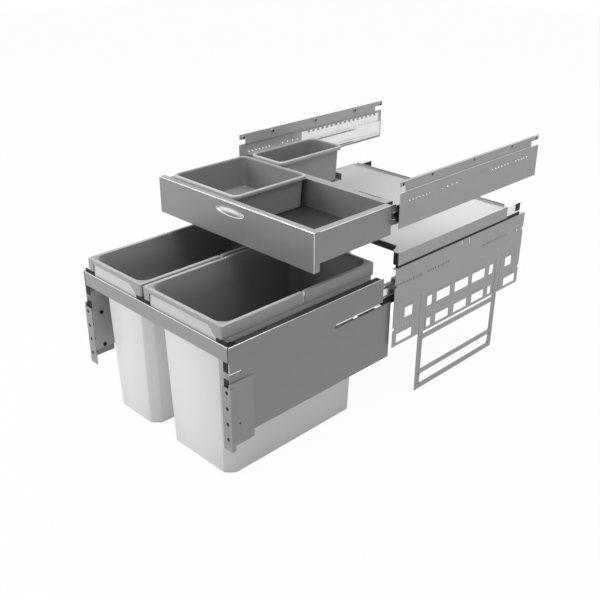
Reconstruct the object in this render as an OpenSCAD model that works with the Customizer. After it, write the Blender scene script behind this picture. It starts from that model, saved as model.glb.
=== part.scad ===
// Pull-out waste unit for a kitchen base cabinet, shown drawn out.
// X runs to the right, Y towards the back of the cabinet, Z up.
// Lengths along Y are first measured from the front edge of the side plates.

/* [Cabinet] */
// Clear width between the two cabinet walls
inner_w = 462; // [440:1:600]
// Thickness of the sheet steel
sheet = 1.2; // [1:0.1:1.6]
// Running gap between pieces that slide on each other
gap = 0.3; // [0.2:0.1:0.6]
// How far the bin frame is drawn out of the cabinet
bins_out = 430; // [420:1:440]
// How far the drawer is drawn out of the cabinet
drawer_out = 235; // [200:1:240]

/* [Top rails] */
// Length of the top rail
rail_len = 488; // [480:1:520]
// Height of the bottom edge of the top rail
rail_z = 404; // [400:1:408]
// Height of the flat panel of the rail
rail_panel_h = 72; // [68:1:80]
// Height of the screw strip above the panel
rail_strip_h = 22; // [18:1:30]
// How far the screw strip stands inwards from the panel
rail_step = 2; // [1.2:0.1:3]
// Height of the notches at the strip's ends
strip_notch_h = 11; // [8:0.5:13]
// Length of the notch at the strip's front end
strip_notch_front = 17; // [12:1:24]
// Length of the notch at the strip's back end
strip_notch_back = 28; // [20:1:40]
// Radius of the screw holes in the strip
strip_hole_r = 2.8; // [1.5:0.1:3]
// Distance of the first strip hole from the rail's front end
strip_hole_y = 99; // [60:1:120]
// Pitch of the middle strip holes
strip_pitch = 140.5; // [100:0.5:150]
// Radius of the small fixing holes
small_hole_r = 1.9; // [1:0.1:2]

/* [Side plates] */
// Length of the side plate
plate_len = 467; // [462:1:480]
// Height of the bottom edge of the side plate
plate_z = 143; // [140:1:150]
// Height of the side plate
plate_h = 175.7; // [172:0.1:180]
// Width of the plate's top flange
plate_flange = 9; // [8:0.5:10]
// Height of the upper window row above the plate's bottom edge
window_top_z = 57; // [50:1:60]
// Height of the windows in the upper row
window_top_h = 23; // [18:1:26]
// Height of the lower window row above the plate's bottom edge
window_low_z = 6.5; // [6:0.5:10]
// Height of the windows in the lower row
window_low_h = 20.5; // [16:0.5:24]
// Radius of the screw holes in the side plates
plate_hole_r = 2.6; // [2:0.1:3]
// Pitch of the cabinet system holes
system_pitch = 32; // [32:1:37]

/* [Leg frames] */
// Distance of the leg frame from the plate's front edge
leg_y = 90; // [86:1:94]
// Outer width of the leg frame
leg_w = 294; // [290:1:298]
// Width of one leg
leg_bar = 16; // [12:1:17]
// Height of the leg frame
leg_h = 205; // [195:1:210]
// Thickness of the leg frame
leg_t = 1.5; // [1:0.1:2]
// Height of the bottom bar
leg_foot_h = 13; // [10:1:16]
// Height of the lower edge of the middle bar
leg_mid_z = 37; // [30:1:45]
// Height of the lower edge of the upper bar
leg_top_z = 123; // [110:1:125]
// Height of the middle and the upper bar
leg_rung = 12; // [10:1:14]

/* [Lid] */
// Length of the lid
lid_len = 384; // [370:1:388]
// Distance of the lid's front ears behind the plate's front edge
lid_y = 6; // [4:1:8]
// Height of the lid's top face
lid_top_z = 351.5; // [350:0.5:354]
// Depth of the side channels of the lid
lid_channel_h = 27; // [24:0.5:27]
// Width of the side channels of the lid
lid_channel_w = 13; // [10:0.5:13]
// How far the front lip lies behind the ears
lid_ear = 28; // [15:1:30]
// Width of each ear where it leaves the lip
lid_ear_w = 28; // [20:1:40]
// Width of each ear at its front end
lid_ear_tip = 15; // [14:0.5:20]
// Height of the fixed rails that carry the lid
lid_rail_h = 23; // [20:0.5:26]
// Height of the lid's front lip
lid_lip_h = 12; // [8:0.5:12]
// How far the lip leans forwards at its lower edge
lid_lip_lean = 4.5; // [1:0.5:6]
// Height of the rib along the lid's back edge
lid_rib_h = 4.5; // [3:0.5:6]
// How far the rails that carry the lid end before the plate's back edge
lid_rail_short = 22; // [10:1:30]
// Length of the black cap on each lid rail
lid_cap = 20; // [12:1:40]

/* [Drawer] */
// Gap between the drawer front and the cabinet walls
front_gap = 7; // [6:0.5:10]
// Height of the drawer front
front_h = 76.5; // [74:0.5:78]
// How far the drawer front hangs below the bottom edge of the top rail
front_drop = 26; // [24:0.5:27]
// Thickness of the folded drawer front
front_t = 15; // [12:1:18]
// Depth of the drawer behind its front
drawer_len = 203; // [190:1:210]
// Thickness of the double side walls
drawer_wall = 15; // [12:1:18]
// How far the side walls stay below the top of the front
drawer_drop = 4; // [2:0.5:6]
// Height of the drawer floor above the bottom edge of the front
drawer_floor_z = 12; // [10:0.5:14]
// Length of the rear tray that carries the small tub
rear_tray_len = 212; // [205:1:225]
// Width of the oval badge
badge_w = 82; // [60:1:100]
// Height of the oval badge
badge_h = 17; // [12:1:24]

/* [Tubs] */
// Outer width of the front tub's rim
tub_w = 199.5; // [180:0.5:205]
// Outer length of the front tub's rim
tub_len = 200.5; // [180:0.5:202]
// Outer width of the back tub's rim
small_tub_w = 99; // [85:1:102]
// Outer length of the back tub's rim
small_tub_len = 198; // [180:1:200]
// Height of the tub rims above the floor of the drawer
tub_rim_z = 69; // [66:0.5:80]
// Width of the rolled rim
tub_rim = 5; // [4:0.5:6]
// Wall of the tubs
tub_wall = 2; // [1.5:0.1:2.5]

/* [Bin frame] */
// Height of the top edge of the bin frame
frame_z = 304.3; // [300:0.1:306]
// Height of the front bar
bar_h = 29.8; // [28:0.1:31]
// Height of the side panels
panel_h = 184; // [180:1:190]
// Length of the lower half of the side panels
panel_len = 424; // [422:1:426]
// How far the upper half of the panel stops short of the lower
panel_back_step = 25; // [20:1:30]
// Gap between the side plate and the side panel
panel_gap = 8; // [7:0.5:9]
// Height of the runner slot above the panel's bottom edge
slot_z = 126; // [125:0.1:126.4]
// Height of the runner slot
slot_h = 7; // [6:0.5:8]
// Length of the runner slot
slot_len = 162; // [155:1:170]
// Width of the front flange of the door bracket
bracket_w = 22.6; // [20:0.1:24]
// Height of the door bracket
bracket_h = 129.5; // [125:0.5:132]
// Height of the door bracket's bottom edge
bracket_z = 97; // [90:1:105]
// Depth of the side flange of the door bracket
bracket_len = 55; // [50:1:60]
// Radius of the door screw holes
door_hole_r = 2.5; // [2:0.1:3]

/* [Bins] */
// Outer width of the left collar
left_w = 177.7; // [170:0.1:180]
// Gap between the collars and the bin runners
collar_side_gap = 3.9; // [3.5:0.1:8]
// Outer length of both collars
collar_len = 386; // [375:1:387]
// Height of the collar's top face
collar_top_z = 338; // [336:0.5:338]
// Height of the collar's skirt
collar_h = 26; // [22:1:28]
// Wall of the collar's skirt
collar_wall = 2; // [1.5:0.1:2.2]
// Width of the collar's top face
collar_rim = 8; // [7:0.5:10]
// Wall of the bins
bin_wall = 2.5; // [2:0.1:3]
// Height of the bins' underside
bin_z = 5; // [3:1:15]
// How far the bin wall stands in from the collar's outer face
bin_inset = 17; // [15:0.5:18]
// Gap between the two collars
collar_between = 6.6; // [5:0.1:8]
// Width that the bevelled corners take off the bins
bin_bevel = 17; // [12:0.5:20]
// Draft of the bin walls from the flange down to the floor
bin_draft = 6; // [3:1:10]

/* [Runners] */
// Depth of the ball runners
runner_d = 12.7; // [12:0.1:13]
// Height of the ball runners
runner_h = 36; // [34:0.5:37]
// Height of the bin runners above the slot in the side panels
bin_runner_rise = 0.7; // [0.5:0.1:1.2]
// Height of the lower edge of the drawer runners above the rail's edge
drawer_runner_z = 9; // [8:0.5:12]
// Diameter of the balls
ball_d = 3.4; // [3:0.1:3.6]

/* [Hidden] */
$fn = 48;
hull_fn = 32;
cut = 1;
steel = [0.56, 0.55, 0.57];
bright = [0.80, 0.79, 0.81];
black = [0.08, 0.08, 0.09];
white = [0.88, 0.88, 0.87];
grey = [0.43, 0.43, 0.43];
light_grey = [0.66, 0.65, 0.67];
dark_grey = [0.28, 0.27, 0.27];

// Cabinet sides and rails
in_x = inner_w / 2;
plate_in = in_x - sheet;
plate_top = plate_z + plate_h;
rail_panel_top = rail_z + rail_panel_h;
rail_top = rail_panel_top + rail_strip_h;
strip_out = in_x - rail_step;
strip_in = strip_out - sheet;
strip_hole_drop = 7;
strip_end_hole = 10;
strip_collar = 3;
strip_collar_wall = 1;
strip_hole_z = rail_top - strip_hole_drop;
strip_holes = [strip_end_hole, strip_hole_y, strip_hole_y + strip_pitch, strip_hole_y + 2 * strip_pitch,
               rail_len - strip_end_hole];
small_hole_rise = 51.4;
small_hole_z = rail_z + small_hole_rise;
rail_end_hole_y = 30;
rail_end_hole_rise = 19;
// Rows of small holes: first place, number of holes, pitch
small_rows = [[29, 7, 10.5], [134, 4, 16], [309, 6, 12], [400, 5, 11]];
hanger_y = [195, 475];
hanger_h = 20;
hanger_tooth = 8;
hanger_tooth_h = 5;
hanger_end = 20;

// Windows in the side plate: first edge and last edge along Y
upper_windows = [[36, 62.5], [111, 128.5], [144, 192.5], [208.5, 260],
                 [273.5, 324.5], [340.5, 357], [405, 431.5]];
lower_windows = [[12.5, 63.5], [113.5, 128.5], [145, 192], [211, 260],
                 [278.5, 326], [342, 355.5], [407.5, 455.5]];
plate_hole_rise = 140;
plate_hole_front = 27;
plate_hole_back = 26;
plate_hole_z = plate_z + plate_hole_rise;
plate_hole_y = [plate_hole_front, plate_hole_front + system_pitch,
                plate_len - plate_hole_back - system_pitch, plate_len - plate_hole_back];
// Rows of small slots in the plate: first place, number, pitch, height
tick_low = plate_z + 42;
plate_ticks = [[9, 2, 7, plate_hole_z], [36, 3, 7, plate_hole_z], [68, 3, 7, plate_hole_z],
               [106, 4, 8, plate_hole_z], [140, 5, 9, plate_hole_z], [304, 8, 8, plate_hole_z],
               [370, 4, 8, plate_hole_z], [419, 2, 9, plate_hole_z], [451, 1, 9, plate_hole_z],
               [14, 6, 9, tick_low], [113, 6, 9, tick_low], [282, 7, 9, tick_low],
               [404, 5, 10, tick_low]];
tick_w = 2.4;
tick_h = 5;
edge_notch_rise = [38, 134];
edge_notch_d = 5;
edge_notch_h = 7;
slit_y = [221, 248];
slit_w = 3;
slit_h = 15;
groove_d = 0.5;
groove_w = 1.6;
groove_h = 92;
groove_out = 2;
leg_groove = 9;
window_groove_rise = 4;

// Legs and their guides
leg_out = plate_in - gap;
leg_in = leg_out - leg_t;
guide_in = leg_in - gap - sheet;
guide_h = 10;
guide_rise = [25, 47];
guide_lap = 3;
leg_corner = 5;
leg_hole_in = 3;

// Lid
lid_wall_gap = 0.5;
lid_x = in_x - lid_wall_gap;
lid_back_y = lid_y + lid_len;
lid_front_y = lid_y + lid_ear;
lid_under = lid_top_z - sheet;
lid_rail_x1 = lid_x - sheet - gap;
lid_rail_x0 = lid_x - lid_channel_w + sheet + gap;
lid_rail_top = lid_under - gap;
lid_rail_z = lid_rail_top - lid_rail_h;
lid_rail_back = 2;
lid_rail_y = lid_y + lid_rail_back;
lid_rail_end = plate_len - lid_rail_short;
lid_rail_wall = 1.5;
lid_inner_wall_h = 20;
lid_cap_lift = 3.5;
lid_rib_pitch = 8;
lid_rib_end = 9;

// Drawer
drawer_x = plate_in - runner_d;
drawer_closed_y = 10;
drawer_y = drawer_closed_y - drawer_out;
drawer_wall_y = drawer_y + front_t;
front_w = inner_w - 2 * front_gap;
front_z = rail_z - front_drop;
drawer_back_y = drawer_wall_y + drawer_len;
drawer_top = front_z + front_h - drawer_drop;
floor_z = front_z + drawer_floor_z;
drawer_in_x = drawer_x - drawer_wall;
side_tail = 13;
side_tail_h = 38;
arm_out = drawer_x - sheet;
arm_in = arm_out - sheet;
arm_overlap = 75;
arm_len = 184;
arm_y1 = drawer_back_y + arm_len;
arm_h = 38;
arm_drop = 5;
tray_inset = 4;
back_flange_d = 11;
back_shelf_d = 22;
shelf_gap = 11;
back_lip_h = 8;
back_slot_len = 59;
back_slot_end = drawer_in_x - 24;
back_slot_x = [back_slot_end - back_slot_len, back_slot_end];
back_slot_y = [3, 6];
badge_t = 1.2;
badge_rise = 57;
badge_z = front_z + badge_rise;
badge_r = (badge_w * badge_w + badge_h * badge_h) / (4 * badge_h);

// Tubs
tub_z = floor_z + sheet;
tub_top_z = tub_z + tub_rim_z;
tub_lap = 2;
tub_back_gap = 0.7;
tub_x = -drawer_in_x - tub_lap;
tub_y = drawer_back_y - tub_back_gap - tub_len;
small_tub_z = front_z + sheet;
small_tub_step = 3;
small_tub_gap = 13.5;
small_tub_x = tub_x + small_tub_step;
small_tub_y = drawer_back_y + small_tub_gap;
tray_right_x = small_tub_x + small_tub_w - tray_inset;
tub_skirt_h = 8;
tub_rim_t = 2.5;
tub_rim_wall = 1.5;
tub_draft = 3;
tub_corner = 14;

// Bin frame
panel_out = plate_in - panel_gap;
panel_in = panel_out - sheet;
front_y = lid_y - bins_out;
panel_z = frame_z - panel_h;
panel_end = front_y + panel_len;
slot_floor = panel_z + slot_z;
slot_top = slot_floor + slot_h;
bracket_t = 1.5;
bracket_y = front_y - 2 * bracket_t;
bracket_out = panel_out + 2 * bracket_t;
bracket_channel_d = 8.5;
bracket_raised_len = 47;
bracket_side_rise = 10;
bracket_side_h = 127.5;
bracket_side_z = [bracket_z + bracket_side_rise, bracket_z + bracket_side_rise + bracket_side_h];
adjuster_back = 21.5;
adjuster_rise = 52.5;
bracket_adjuster = [bracket_y + adjuster_back, bracket_z + adjuster_rise];
adjuster_r = 2;
bracket_hole_in = 7;
bracket_hole_rise = 24;
bracket_hole_x = panel_out + bracket_t - bracket_hole_in;
bracket_hole_z = bracket_z + bracket_hole_rise;
bracket_holes = 4;
bracket_screw_back = 32;
bracket_screw_rise = [30, 105];
bracket_screw_y = bracket_y + bracket_screw_back;
bracket_screw_z = [for (rise = bracket_screw_rise) bracket_z + rise];
screw_r = 2;
screw_head_r = 4;
screw_head_h = 2;
bar_z = frame_z - bar_h;
hem = 2 * sheet;
ledge_d = 14;
tab_len = 20;
tab_drop = 21.5;
pocket_len = 26;
end_slot_w = 3;
end_slot_d = 6;
bar_half = panel_in - end_slot_w;
corner_x = bar_half - sheet;
latch_guide_w = 14.5;
latch_guide_y = [front_y, front_y + sheet];
latch_guide_overlap = 5.2;
latch_guide_z = bracket_z + bracket_h - latch_guide_overlap;
sleeve_len = 6;
sleeve_r = 4;
back_bar_rise = 85;
back_bar_z = panel_z + back_bar_rise;
back_bar_h = 34;
collar_end_gap = 2;
back_bar_y = front_y + collar_end_gap + collar_len + 1;
spacer_h = 26;
slot_lip = 2;

// Bins, liners and collars
opening_r = 26;
collar_corner = 4;
collar_half = panel_in - runner_d - collar_side_gap;
right_w = 2 * collar_half - left_w - collar_between;
left_bin = [-collar_half, -collar_half + left_w];
right_bin = [collar_half - right_w, collar_half];
collar_y = [front_y + collar_end_gap, front_y + collar_end_gap + collar_len];
collar_z = collar_top_z - collar_h;
thin = 0.012;
flange_z = bar_z + sheet + gap;
flange_top = flange_z + bin_wall;
lip_inset = collar_wall + gap;
lip_wall = 2;
lip_drop = 8;
lip_top = collar_top_z - lip_drop;
liner_wall = 1.5;
liner_inset = bin_inset + bin_wall + gap;
liner_rim = 8;
liner_z = bin_z + bin_wall + gap;
liner_flange = flange_top + gap;
funnel_z = liner_flange + liner_wall + gap;
notch_w = 6;
notch_h = 22;
notch_d = 5;
clip_h = 6.5;
clip_x = [0.5, 5];
arch_h = 17;
arch_in = 17;
arch_slope = 20;
arch_lean = 2;

// Runners, measured inwards from the web of the member on the cabinet
race = ball_d + 2 * gap;
cage = 0.8;
cage_web = sheet + gap;
mid_web = cage_web + cage + gap;
inner_cage_web = mid_web + sheet + gap;
inner_lip = inner_cage_web + cage + gap;
inner_web = runner_d - sheet;
mid_reach = inner_web - gap;
fixed_reach = mid_reach - sheet;
mid_inset = sheet + race;
inner_inset = mid_inset + sheet + race;
ball_pitch = 42;
cage_end = 10;
cage_front = 4;
drawer_outer_cage = 110;
drawer_inner_cage = 80;
bin_outer_cage = 221;
bin_inner_cage = 186;
drawer_runner_low = rail_z + drawer_runner_z;
front_clear = 3;
drawer_fixed_y = [drawer_closed_y + front_t + front_clear, rail_len - 5];
drawer_cap_len = 16;
drawer_mid_len = 363;
drawer_close = 200;
drawer_mid_end = rail_len - front_clear - drawer_close / 2;
drawer_mid_y = [drawer_mid_end - drawer_mid_len, drawer_mid_end];
drawer_moving_y = [drawer_back_y - 5, arm_y1];
bin_runner_x = panel_in - runner_d;
bin_runner_z = slot_top + bin_runner_rise;
bin_fixed_y = [14, plate_len - 13];
bin_mid_y = [bin_fixed_y[0] - bins_out / 2, bin_fixed_y[1] - bins_out / 2];
bin_moving_front = 24;
bin_moving_len = 395;
bin_moving_y = [front_y + bin_moving_front, front_y + bin_moving_front + bin_moving_len];
carrier_len = 150;
carrier_back = 27;
carrier_y = [plate_len - carrier_back - carrier_len, plate_len - carrier_back];
carrier_t = 2;
carrier_z = slot_floor + (slot_h - carrier_t) / 2;
carrier_drop = 8;
carrier_flange = 24;
carrier_screw_end = 15;
carrier_screw_pitch = 60;
carrier_screws_y = [for (i = [0 : 2]) carrier_y[0] + carrier_screw_end + i * carrier_screw_pitch];
carrier_screw_z = carrier_z + 8;
latch_wall = 3;
latch_nose = 12;
latch_y = [-25, 20];
latch_z = [slot_floor - 5, bin_runner_z];
shift_y = -(bracket_y + rail_len) / 2;

// Helpers

// Moves a piece so that the middle of the whole unit lies over the origin
module placed() {
    translate([0, shift_y, 0]) children();
}

// Every paired piece is drawn for the right side and mirrored for the left
module on_side(s) {
    if (s > 0) children();
    else mirror([1, 0, 0]) children();
}

module both_sides() {
    on_side(1) children();
    on_side(-1) children();
}

module block(x, y, z) {
    translate([x[0], y[0], z[0]]) cube([x[1] - x[0], y[1] - y[0], z[1] - z[0]]);
}

module hole_x(x, y, z, r) {
    translate([x[0], y, z]) rotate([0, 90, 0]) cylinder(r = r, h = x[1] - x[0]);
}

module hole_y(x, y, z, r) {
    translate([x, y[0], z]) rotate([-90, 0, 0]) cylinder(r = r, h = y[1] - y[0]);
}

// A flat outline drawn in Y and Z, given the thickness between two places along X
module side_sheet(x) {
    translate([x[0], 0, 0]) rotate([90, 0, 90]) linear_extrude(x[1] - x[0]) children();
}

// A flat outline with round corners
module rounded(x, y, r) {
    translate([x[0] + r, y[0]]) square([x[1] - x[0] - 2 * r, y[1] - y[0]]);
    translate([x[0], y[0] + r]) square([x[1] - x[0], y[1] - y[0] - 2 * r]);
    for (px = [x[0] + r, x[1] - r], py = [y[0] + r, y[1] - r])
        translate([px, py]) circle(r);
}

module slab(x, y, z, r) {
    translate([0, 0, z[0]]) linear_extrude(z[1] - z[0]) rounded(x, y, r);
}

function inset(span, d) = [span[0] + d, span[1] - d];

// A drafted block with round corners: narrower by draft at its foot
module drafted(x, y, z, r, draft) {
    hull($fn = hull_fn) {
        slab(inset(x, draft), inset(y, draft), [z[0], z[0] + thin], r);
        slab(x, y, [z[1] - thin, z[1]], r);
    }
}

// A flat outline with straight bevels at its corners
module bevelled(x, y, c) {
    polygon([[x[0] + c, y[0]], [x[1] - c, y[0]], [x[1], y[0] + c], [x[1], y[1] - c],
             [x[1] - c, y[1]], [x[0] + c, y[1]], [x[0], y[1] - c], [x[0], y[0] + c]]);
}

// The bevel of a wall that lies further in than the outside of the bin
function bevel(d) = bin_bevel - (2 - sqrt(2)) * (d - bin_inset);

module bevelled_slab(x, y, z, d) {
    translate([0, 0, z[0]]) linear_extrude(z[1] - z[0]) bevelled(inset(x, d), inset(y, d), bevel(d));
}

// A drafted wall of the bins, measured from the outside of the collar
module bevelled_block(x, y, z, d) {
    hull() {
        translate([0, 0, z[0]]) linear_extrude(thin)
            bevelled(inset(x, d + bin_draft), inset(y, d + bin_draft), bevel(d));
        bevelled_slab(x, y, [z[1] - thin, z[1]], d);
    }
}

// One member of a ball runner: a web and two flanges
module channel(web, reach, low, y) {
    high = runner_h - low;
    block([web, web + sheet], y, [low, high]);
    block(reach, y, [low, low + sheet]);
    block(reach, y, [high - sheet, high]);
}

module runner_fixed(y) {
    channel(0, [0, fixed_reach], 0, y);
}

module runner_mid(y) {
    channel(mid_web, [mid_web, mid_reach], mid_inset, y);
}

module runner_moving(y) {
    channel(inner_web, [inner_lip, runner_d], inner_inset, y);
}

// A ball cage: a thin web and two strips, with balls set into the strips
module ball_cage(web, ball_x, low, y) {
    strip = low - cage / 2;
    high = runner_h - low;
    block([web, web + cage], y, [strip, runner_h - strip]);
    for (z = [low, high]) {
        block([web, ball_x + 1], y, [z - cage / 2, z + cage / 2]);
        for (py = [y[0] + 8 : ball_pitch : y[1] - 8])
            translate([ball_x, py, z]) sphere(d = ball_d);
    }
}

module outer_cage(y) {
    ball_cage(cage_web, (mid_web + fixed_reach) / 2, sheet + race / 2, y);
}

module inner_cage(y) {
    ball_cage(inner_cage_web, (inner_lip + mid_reach) / 2, mid_inset + sheet + race / 2, y);
}

// The drawer runner opens inwards from the rail
module at_drawer_runner() {
    translate([plate_in, 0, drawer_runner_low]) mirror([1, 0, 0]) children();
}

// The bin runner opens outwards, towards the side panel that covers it
module at_bin_runner() {
    translate([bin_runner_x, 0, bin_runner_z]) children();
}

// A screw with its head on the inner side of the pieces that it joins
module screw(x, y, z) {
    hole_x(x, y, z, screw_r);
    hole_x([x[0] - screw_head_h, x[0]], y, z, screw_head_r);
}

// Pieces fixed to the cabinet

module small_holes(x) {
    for (row = small_rows, i = [0 : row[1] - 1])
        hole_x(x, row[0] + i * row[2], small_hole_z, small_hole_r);
}

// The screw holes of the strip are drawn inwards into short collars
module top_rail(s) {
    collar_in = strip_in - strip_collar;
    through = [collar_in - cut, in_x + cut];
    notch = [rail_panel_top - sheet - gap, rail_panel_top + strip_notch_h];
    color(steel) placed() on_side(s) difference() {
        union() {
            block([plate_in, in_x], [0, rail_len], [rail_z, rail_panel_top]);
            block([strip_in, in_x], [0, rail_len], [rail_panel_top - sheet, rail_panel_top]);
            block([strip_in, strip_out], [0, rail_len], [rail_panel_top - sheet, rail_top]);
            for (y = strip_holes)
                hole_x([collar_in, strip_in], y, strip_hole_z, strip_hole_r + strip_collar_wall);
        }
        block(through, [-cut, strip_notch_front], notch);
        block(through, [rail_len - strip_notch_back, rail_len + cut], notch);
        for (y = strip_holes) hole_x(through, y, strip_hole_z, strip_hole_r);
        small_holes(through);
        hole_x(through, rail_len - rail_end_hole_y, rail_z + rail_end_hole_rise, small_hole_r);
    }
}

module runner_hangers() {
    low = drawer_runner_low + runner_h;
    x = [plate_in - sheet, plate_in];
    color(bright) placed() both_sides() difference() {
        block(x, hanger_y, [low, low + hanger_h]);
        small_holes([x[0] - cut, x[1] + cut]);
        for (y = [hanger_y[0] + hanger_end : 2 * hanger_tooth : hanger_y[1] - hanger_end])
            block([x[0] - cut, x[1] + cut], [y, y + hanger_tooth],
                  [low + hanger_h - hanger_tooth_h, low + hanger_h + cut]);
    }
}

module drawer_runner_fixed(s) {
    color(bright) placed() on_side(s) at_drawer_runner() runner_fixed(drawer_fixed_y);
}

module plate_windows() {
    for (w = upper_windows)
        translate([w[0], plate_z + window_top_z]) square([w[1] - w[0], window_top_h]);
    for (w = lower_windows)
        translate([w[0], plate_z + window_low_z]) square([w[1] - w[0], window_low_h]);
}

module plate_notches() {
    for (z = edge_notch_rise, y = [-cut, plate_len - edge_notch_d])
        translate([y, plate_z + z]) square([edge_notch_d + cut, edge_notch_h]);
    for (y = slit_y)
        translate([y, plate_top - slit_h]) square([slit_w, slit_h - sheet]);
}

module tick(x, y, z) {
    block(x, [y, y + tick_w], [z - tick_h / 2, z + tick_h / 2]);
}

module plate_holes(x) {
    for (y = plate_hole_y) hole_x(x, y, plate_hole_z, plate_hole_r);
    for (row = plate_ticks, i = [0 : row[1] - 1])
        tick(x, row[0] + i * row[2], row[3]);
    for (y = carrier_screws_y) hole_x(x, y, carrier_screw_z, screw_r + gap);
}

module side_plate(s) {
    through = [plate_in - cut, in_x + cut];
    window_groove_z = plate_z + window_top_z + window_top_h + window_groove_rise;
    color(steel) placed() on_side(s) difference() {
        union() {
            side_sheet([plate_in, in_x]) difference() {
                translate([0, plate_z]) square([plate_len, plate_h]);
                plate_windows();
                plate_notches();
            }
            block([in_x - plate_flange, in_x], [0, plate_len], [plate_top - sheet, plate_top]);
        }
        plate_holes(through);
        for (y = [leg_y, leg_y + leg_w - leg_bar], edge = [-groove_out, leg_bar + groove_out])
            block([in_x - groove_d, in_x + cut], [y + edge - groove_w / 2, y + edge + groove_w / 2],
                  [plate_z - cut, plate_z + groove_h]);
        for (w = upper_windows)
            block([in_x - groove_d, in_x + cut], w, [window_groove_z, window_groove_z + groove_w]);
    }
}

module bin_runner_fixed(s) {
    color(bright) placed() on_side(s) at_bin_runner() runner_fixed(bin_fixed_y);
}

module runner_carriers() {
    inner = bin_runner_x - sheet;
    low = carrier_z - carrier_drop;
    color(steel) placed() both_sides() difference() {
        union() {
            block([plate_in - sheet, plate_in], carrier_y, [low, low + carrier_flange]);
            block([inner, plate_in], carrier_y, [carrier_z, carrier_z + carrier_t]);
            block([inner, bin_runner_x], carrier_y, [carrier_z, bin_runner_z + runner_h]);
        }
        for (y = carrier_screws_y)
            hole_x([plate_in - sheet - cut, plate_in + cut], y, carrier_screw_z, screw_r + gap);
    }
}

module carrier_screws() {
    color(bright) placed() both_sides()
        for (y = carrier_screws_y) screw([plate_in - sheet, in_x], y, carrier_screw_z);
}

module runner_latches() {
    x = [bin_runner_x + gap, panel_in - gap];
    color(black) placed() both_sides() difference() {
        block(x, latch_y, latch_z);
        block(inset(x, latch_wall), [latch_y[0] - cut, latch_y[1] - latch_nose],
              [latch_z[0] - cut, latch_z[1] - latch_wall]);
    }
}

// The rail's web stops before its end, where a black plug fills it
module lid_rail(s) {
    x = [lid_rail_x0, lid_rail_x1];
    z = [lid_rail_z + lid_rail_wall, lid_rail_top - lid_rail_wall];
    color(bright) placed() on_side(s) difference() {
        block(x, [lid_rail_y, lid_rail_end], [lid_rail_z, lid_rail_top]);
        block([x[0] - cut, x[1] - lid_rail_wall], [lid_rail_y - cut, lid_rail_end + cut], z);
        block([x[0], x[1] + cut], [lid_rail_end - lid_cap, lid_rail_end + cut],
              [lid_rail_z + lid_cap_lift, z[1]]);
    }
}

module lid_rail_seats() {
    x = [in_x - plate_flange + gap, lid_rail_x1];
    color(black) placed() both_sides()
        block(x, [lid_rail_y, lid_rail_end], [plate_top, lid_rail_z]);
}

module lid_rail_caps() {
    color(black) placed() both_sides()
        block([lid_rail_x0, lid_rail_x1], [lid_rail_end - lid_cap, lid_rail_end],
              [lid_rail_z + lid_cap_lift, lid_rail_top - lid_rail_wall]);
}

module leg_guides() {
    color(steel) placed() both_sides()
        for (y = [leg_y, leg_y + leg_w - leg_bar], rise = guide_rise) {
            z = [plate_z + rise, plate_z + rise + guide_h];
            block([guide_in, guide_in + sheet], [y - guide_lap, y + leg_bar + guide_lap], z);
            for (edge = [y - guide_lap, y + leg_bar + guide_lap - sheet])
                block([guide_in, plate_in], [edge, edge + sheet], z);
        }
}

// Legs

module leg_outline() {
    y = [leg_y + leg_bar, leg_y + leg_w - leg_bar];
    difference() {
        translate([leg_y, 0]) square([leg_w, leg_h]);
        rounded(y, [leg_foot_h, leg_mid_z], leg_corner);
        rounded(y, [leg_mid_z + leg_rung, leg_top_z], leg_corner);
        translate([y[0], leg_top_z + leg_rung]) square([y[1] - y[0], leg_h]);
        for (py = inset(y, -leg_hole_in), z = [leg_foot_h, leg_mid_z])
            translate([py, z]) circle(small_hole_r);
    }
}

module leg_frame(s) {
    color(steel) placed() on_side(s) difference() {
        side_sheet([leg_in, leg_out]) leg_outline();
        for (y = [leg_y + leg_groove, leg_y + leg_w - leg_bar + leg_groove])
            block([leg_out - groove_d, leg_out + cut], [y, y + groove_w], [leg_foot_h, leg_h + cut]);
    }
}

// Lid

module lid_sheet() {
    rib_y = lid_back_y - lid_rib_pitch;
    rib_x = lid_x - lid_rib_end;
    color(bright) placed() {
        block([-lid_x, lid_x], [lid_front_y, lid_back_y], [lid_under, lid_top_z]);
        both_sides() translate([0, 0, lid_under]) linear_extrude(sheet)
            polygon([[lid_x, lid_y], [lid_x, lid_front_y], [lid_x - lid_ear_w, lid_front_y],
                     [lid_x - lid_ear_tip, lid_y]]);
        block([-rib_x, rib_x], [rib_y, rib_y + sheet], [lid_top_z, lid_top_z + lid_rib_h / 2]);
        block([-rib_x, rib_x], [lid_back_y - sheet, lid_back_y], [lid_top_z, lid_top_z + lid_rib_h]);
    }
}

module lid_channels() {
    inner = lid_x - lid_channel_w;
    color(steel) placed() both_sides() {
        block([lid_x - sheet, lid_x], [lid_y, lid_back_y], [lid_top_z - lid_channel_h, lid_under]);
        block([inner, inner + sheet], [lid_y + sheet, lid_back_y],
              [lid_top_z - lid_inner_wall_h, lid_under]);
    }
}

// The lip leans forwards; two dark ends close the channels
module lid_lip() {
    edge = lid_x - lid_ear_w;
    low = lid_top_z - lid_lip_h;
    foot = lid_front_y - lid_lip_lean;
    color(dark_grey) placed() {
        side_sheet([-edge, edge])
            polygon([[lid_front_y, lid_under], [foot, low], [foot + sheet, low],
                     [lid_front_y + sheet, lid_under]]);
        both_sides()
            block([lid_x - lid_channel_w, lid_x - sheet], [lid_y, lid_y + sheet],
                  [lid_top_z - lid_channel_h, lid_under]);
    }
}

// Middle members of the drawer runners

module drawer_runner_mid(s) {
    color(bright) placed() on_side(s) at_drawer_runner() runner_mid(drawer_mid_y);
}

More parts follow.
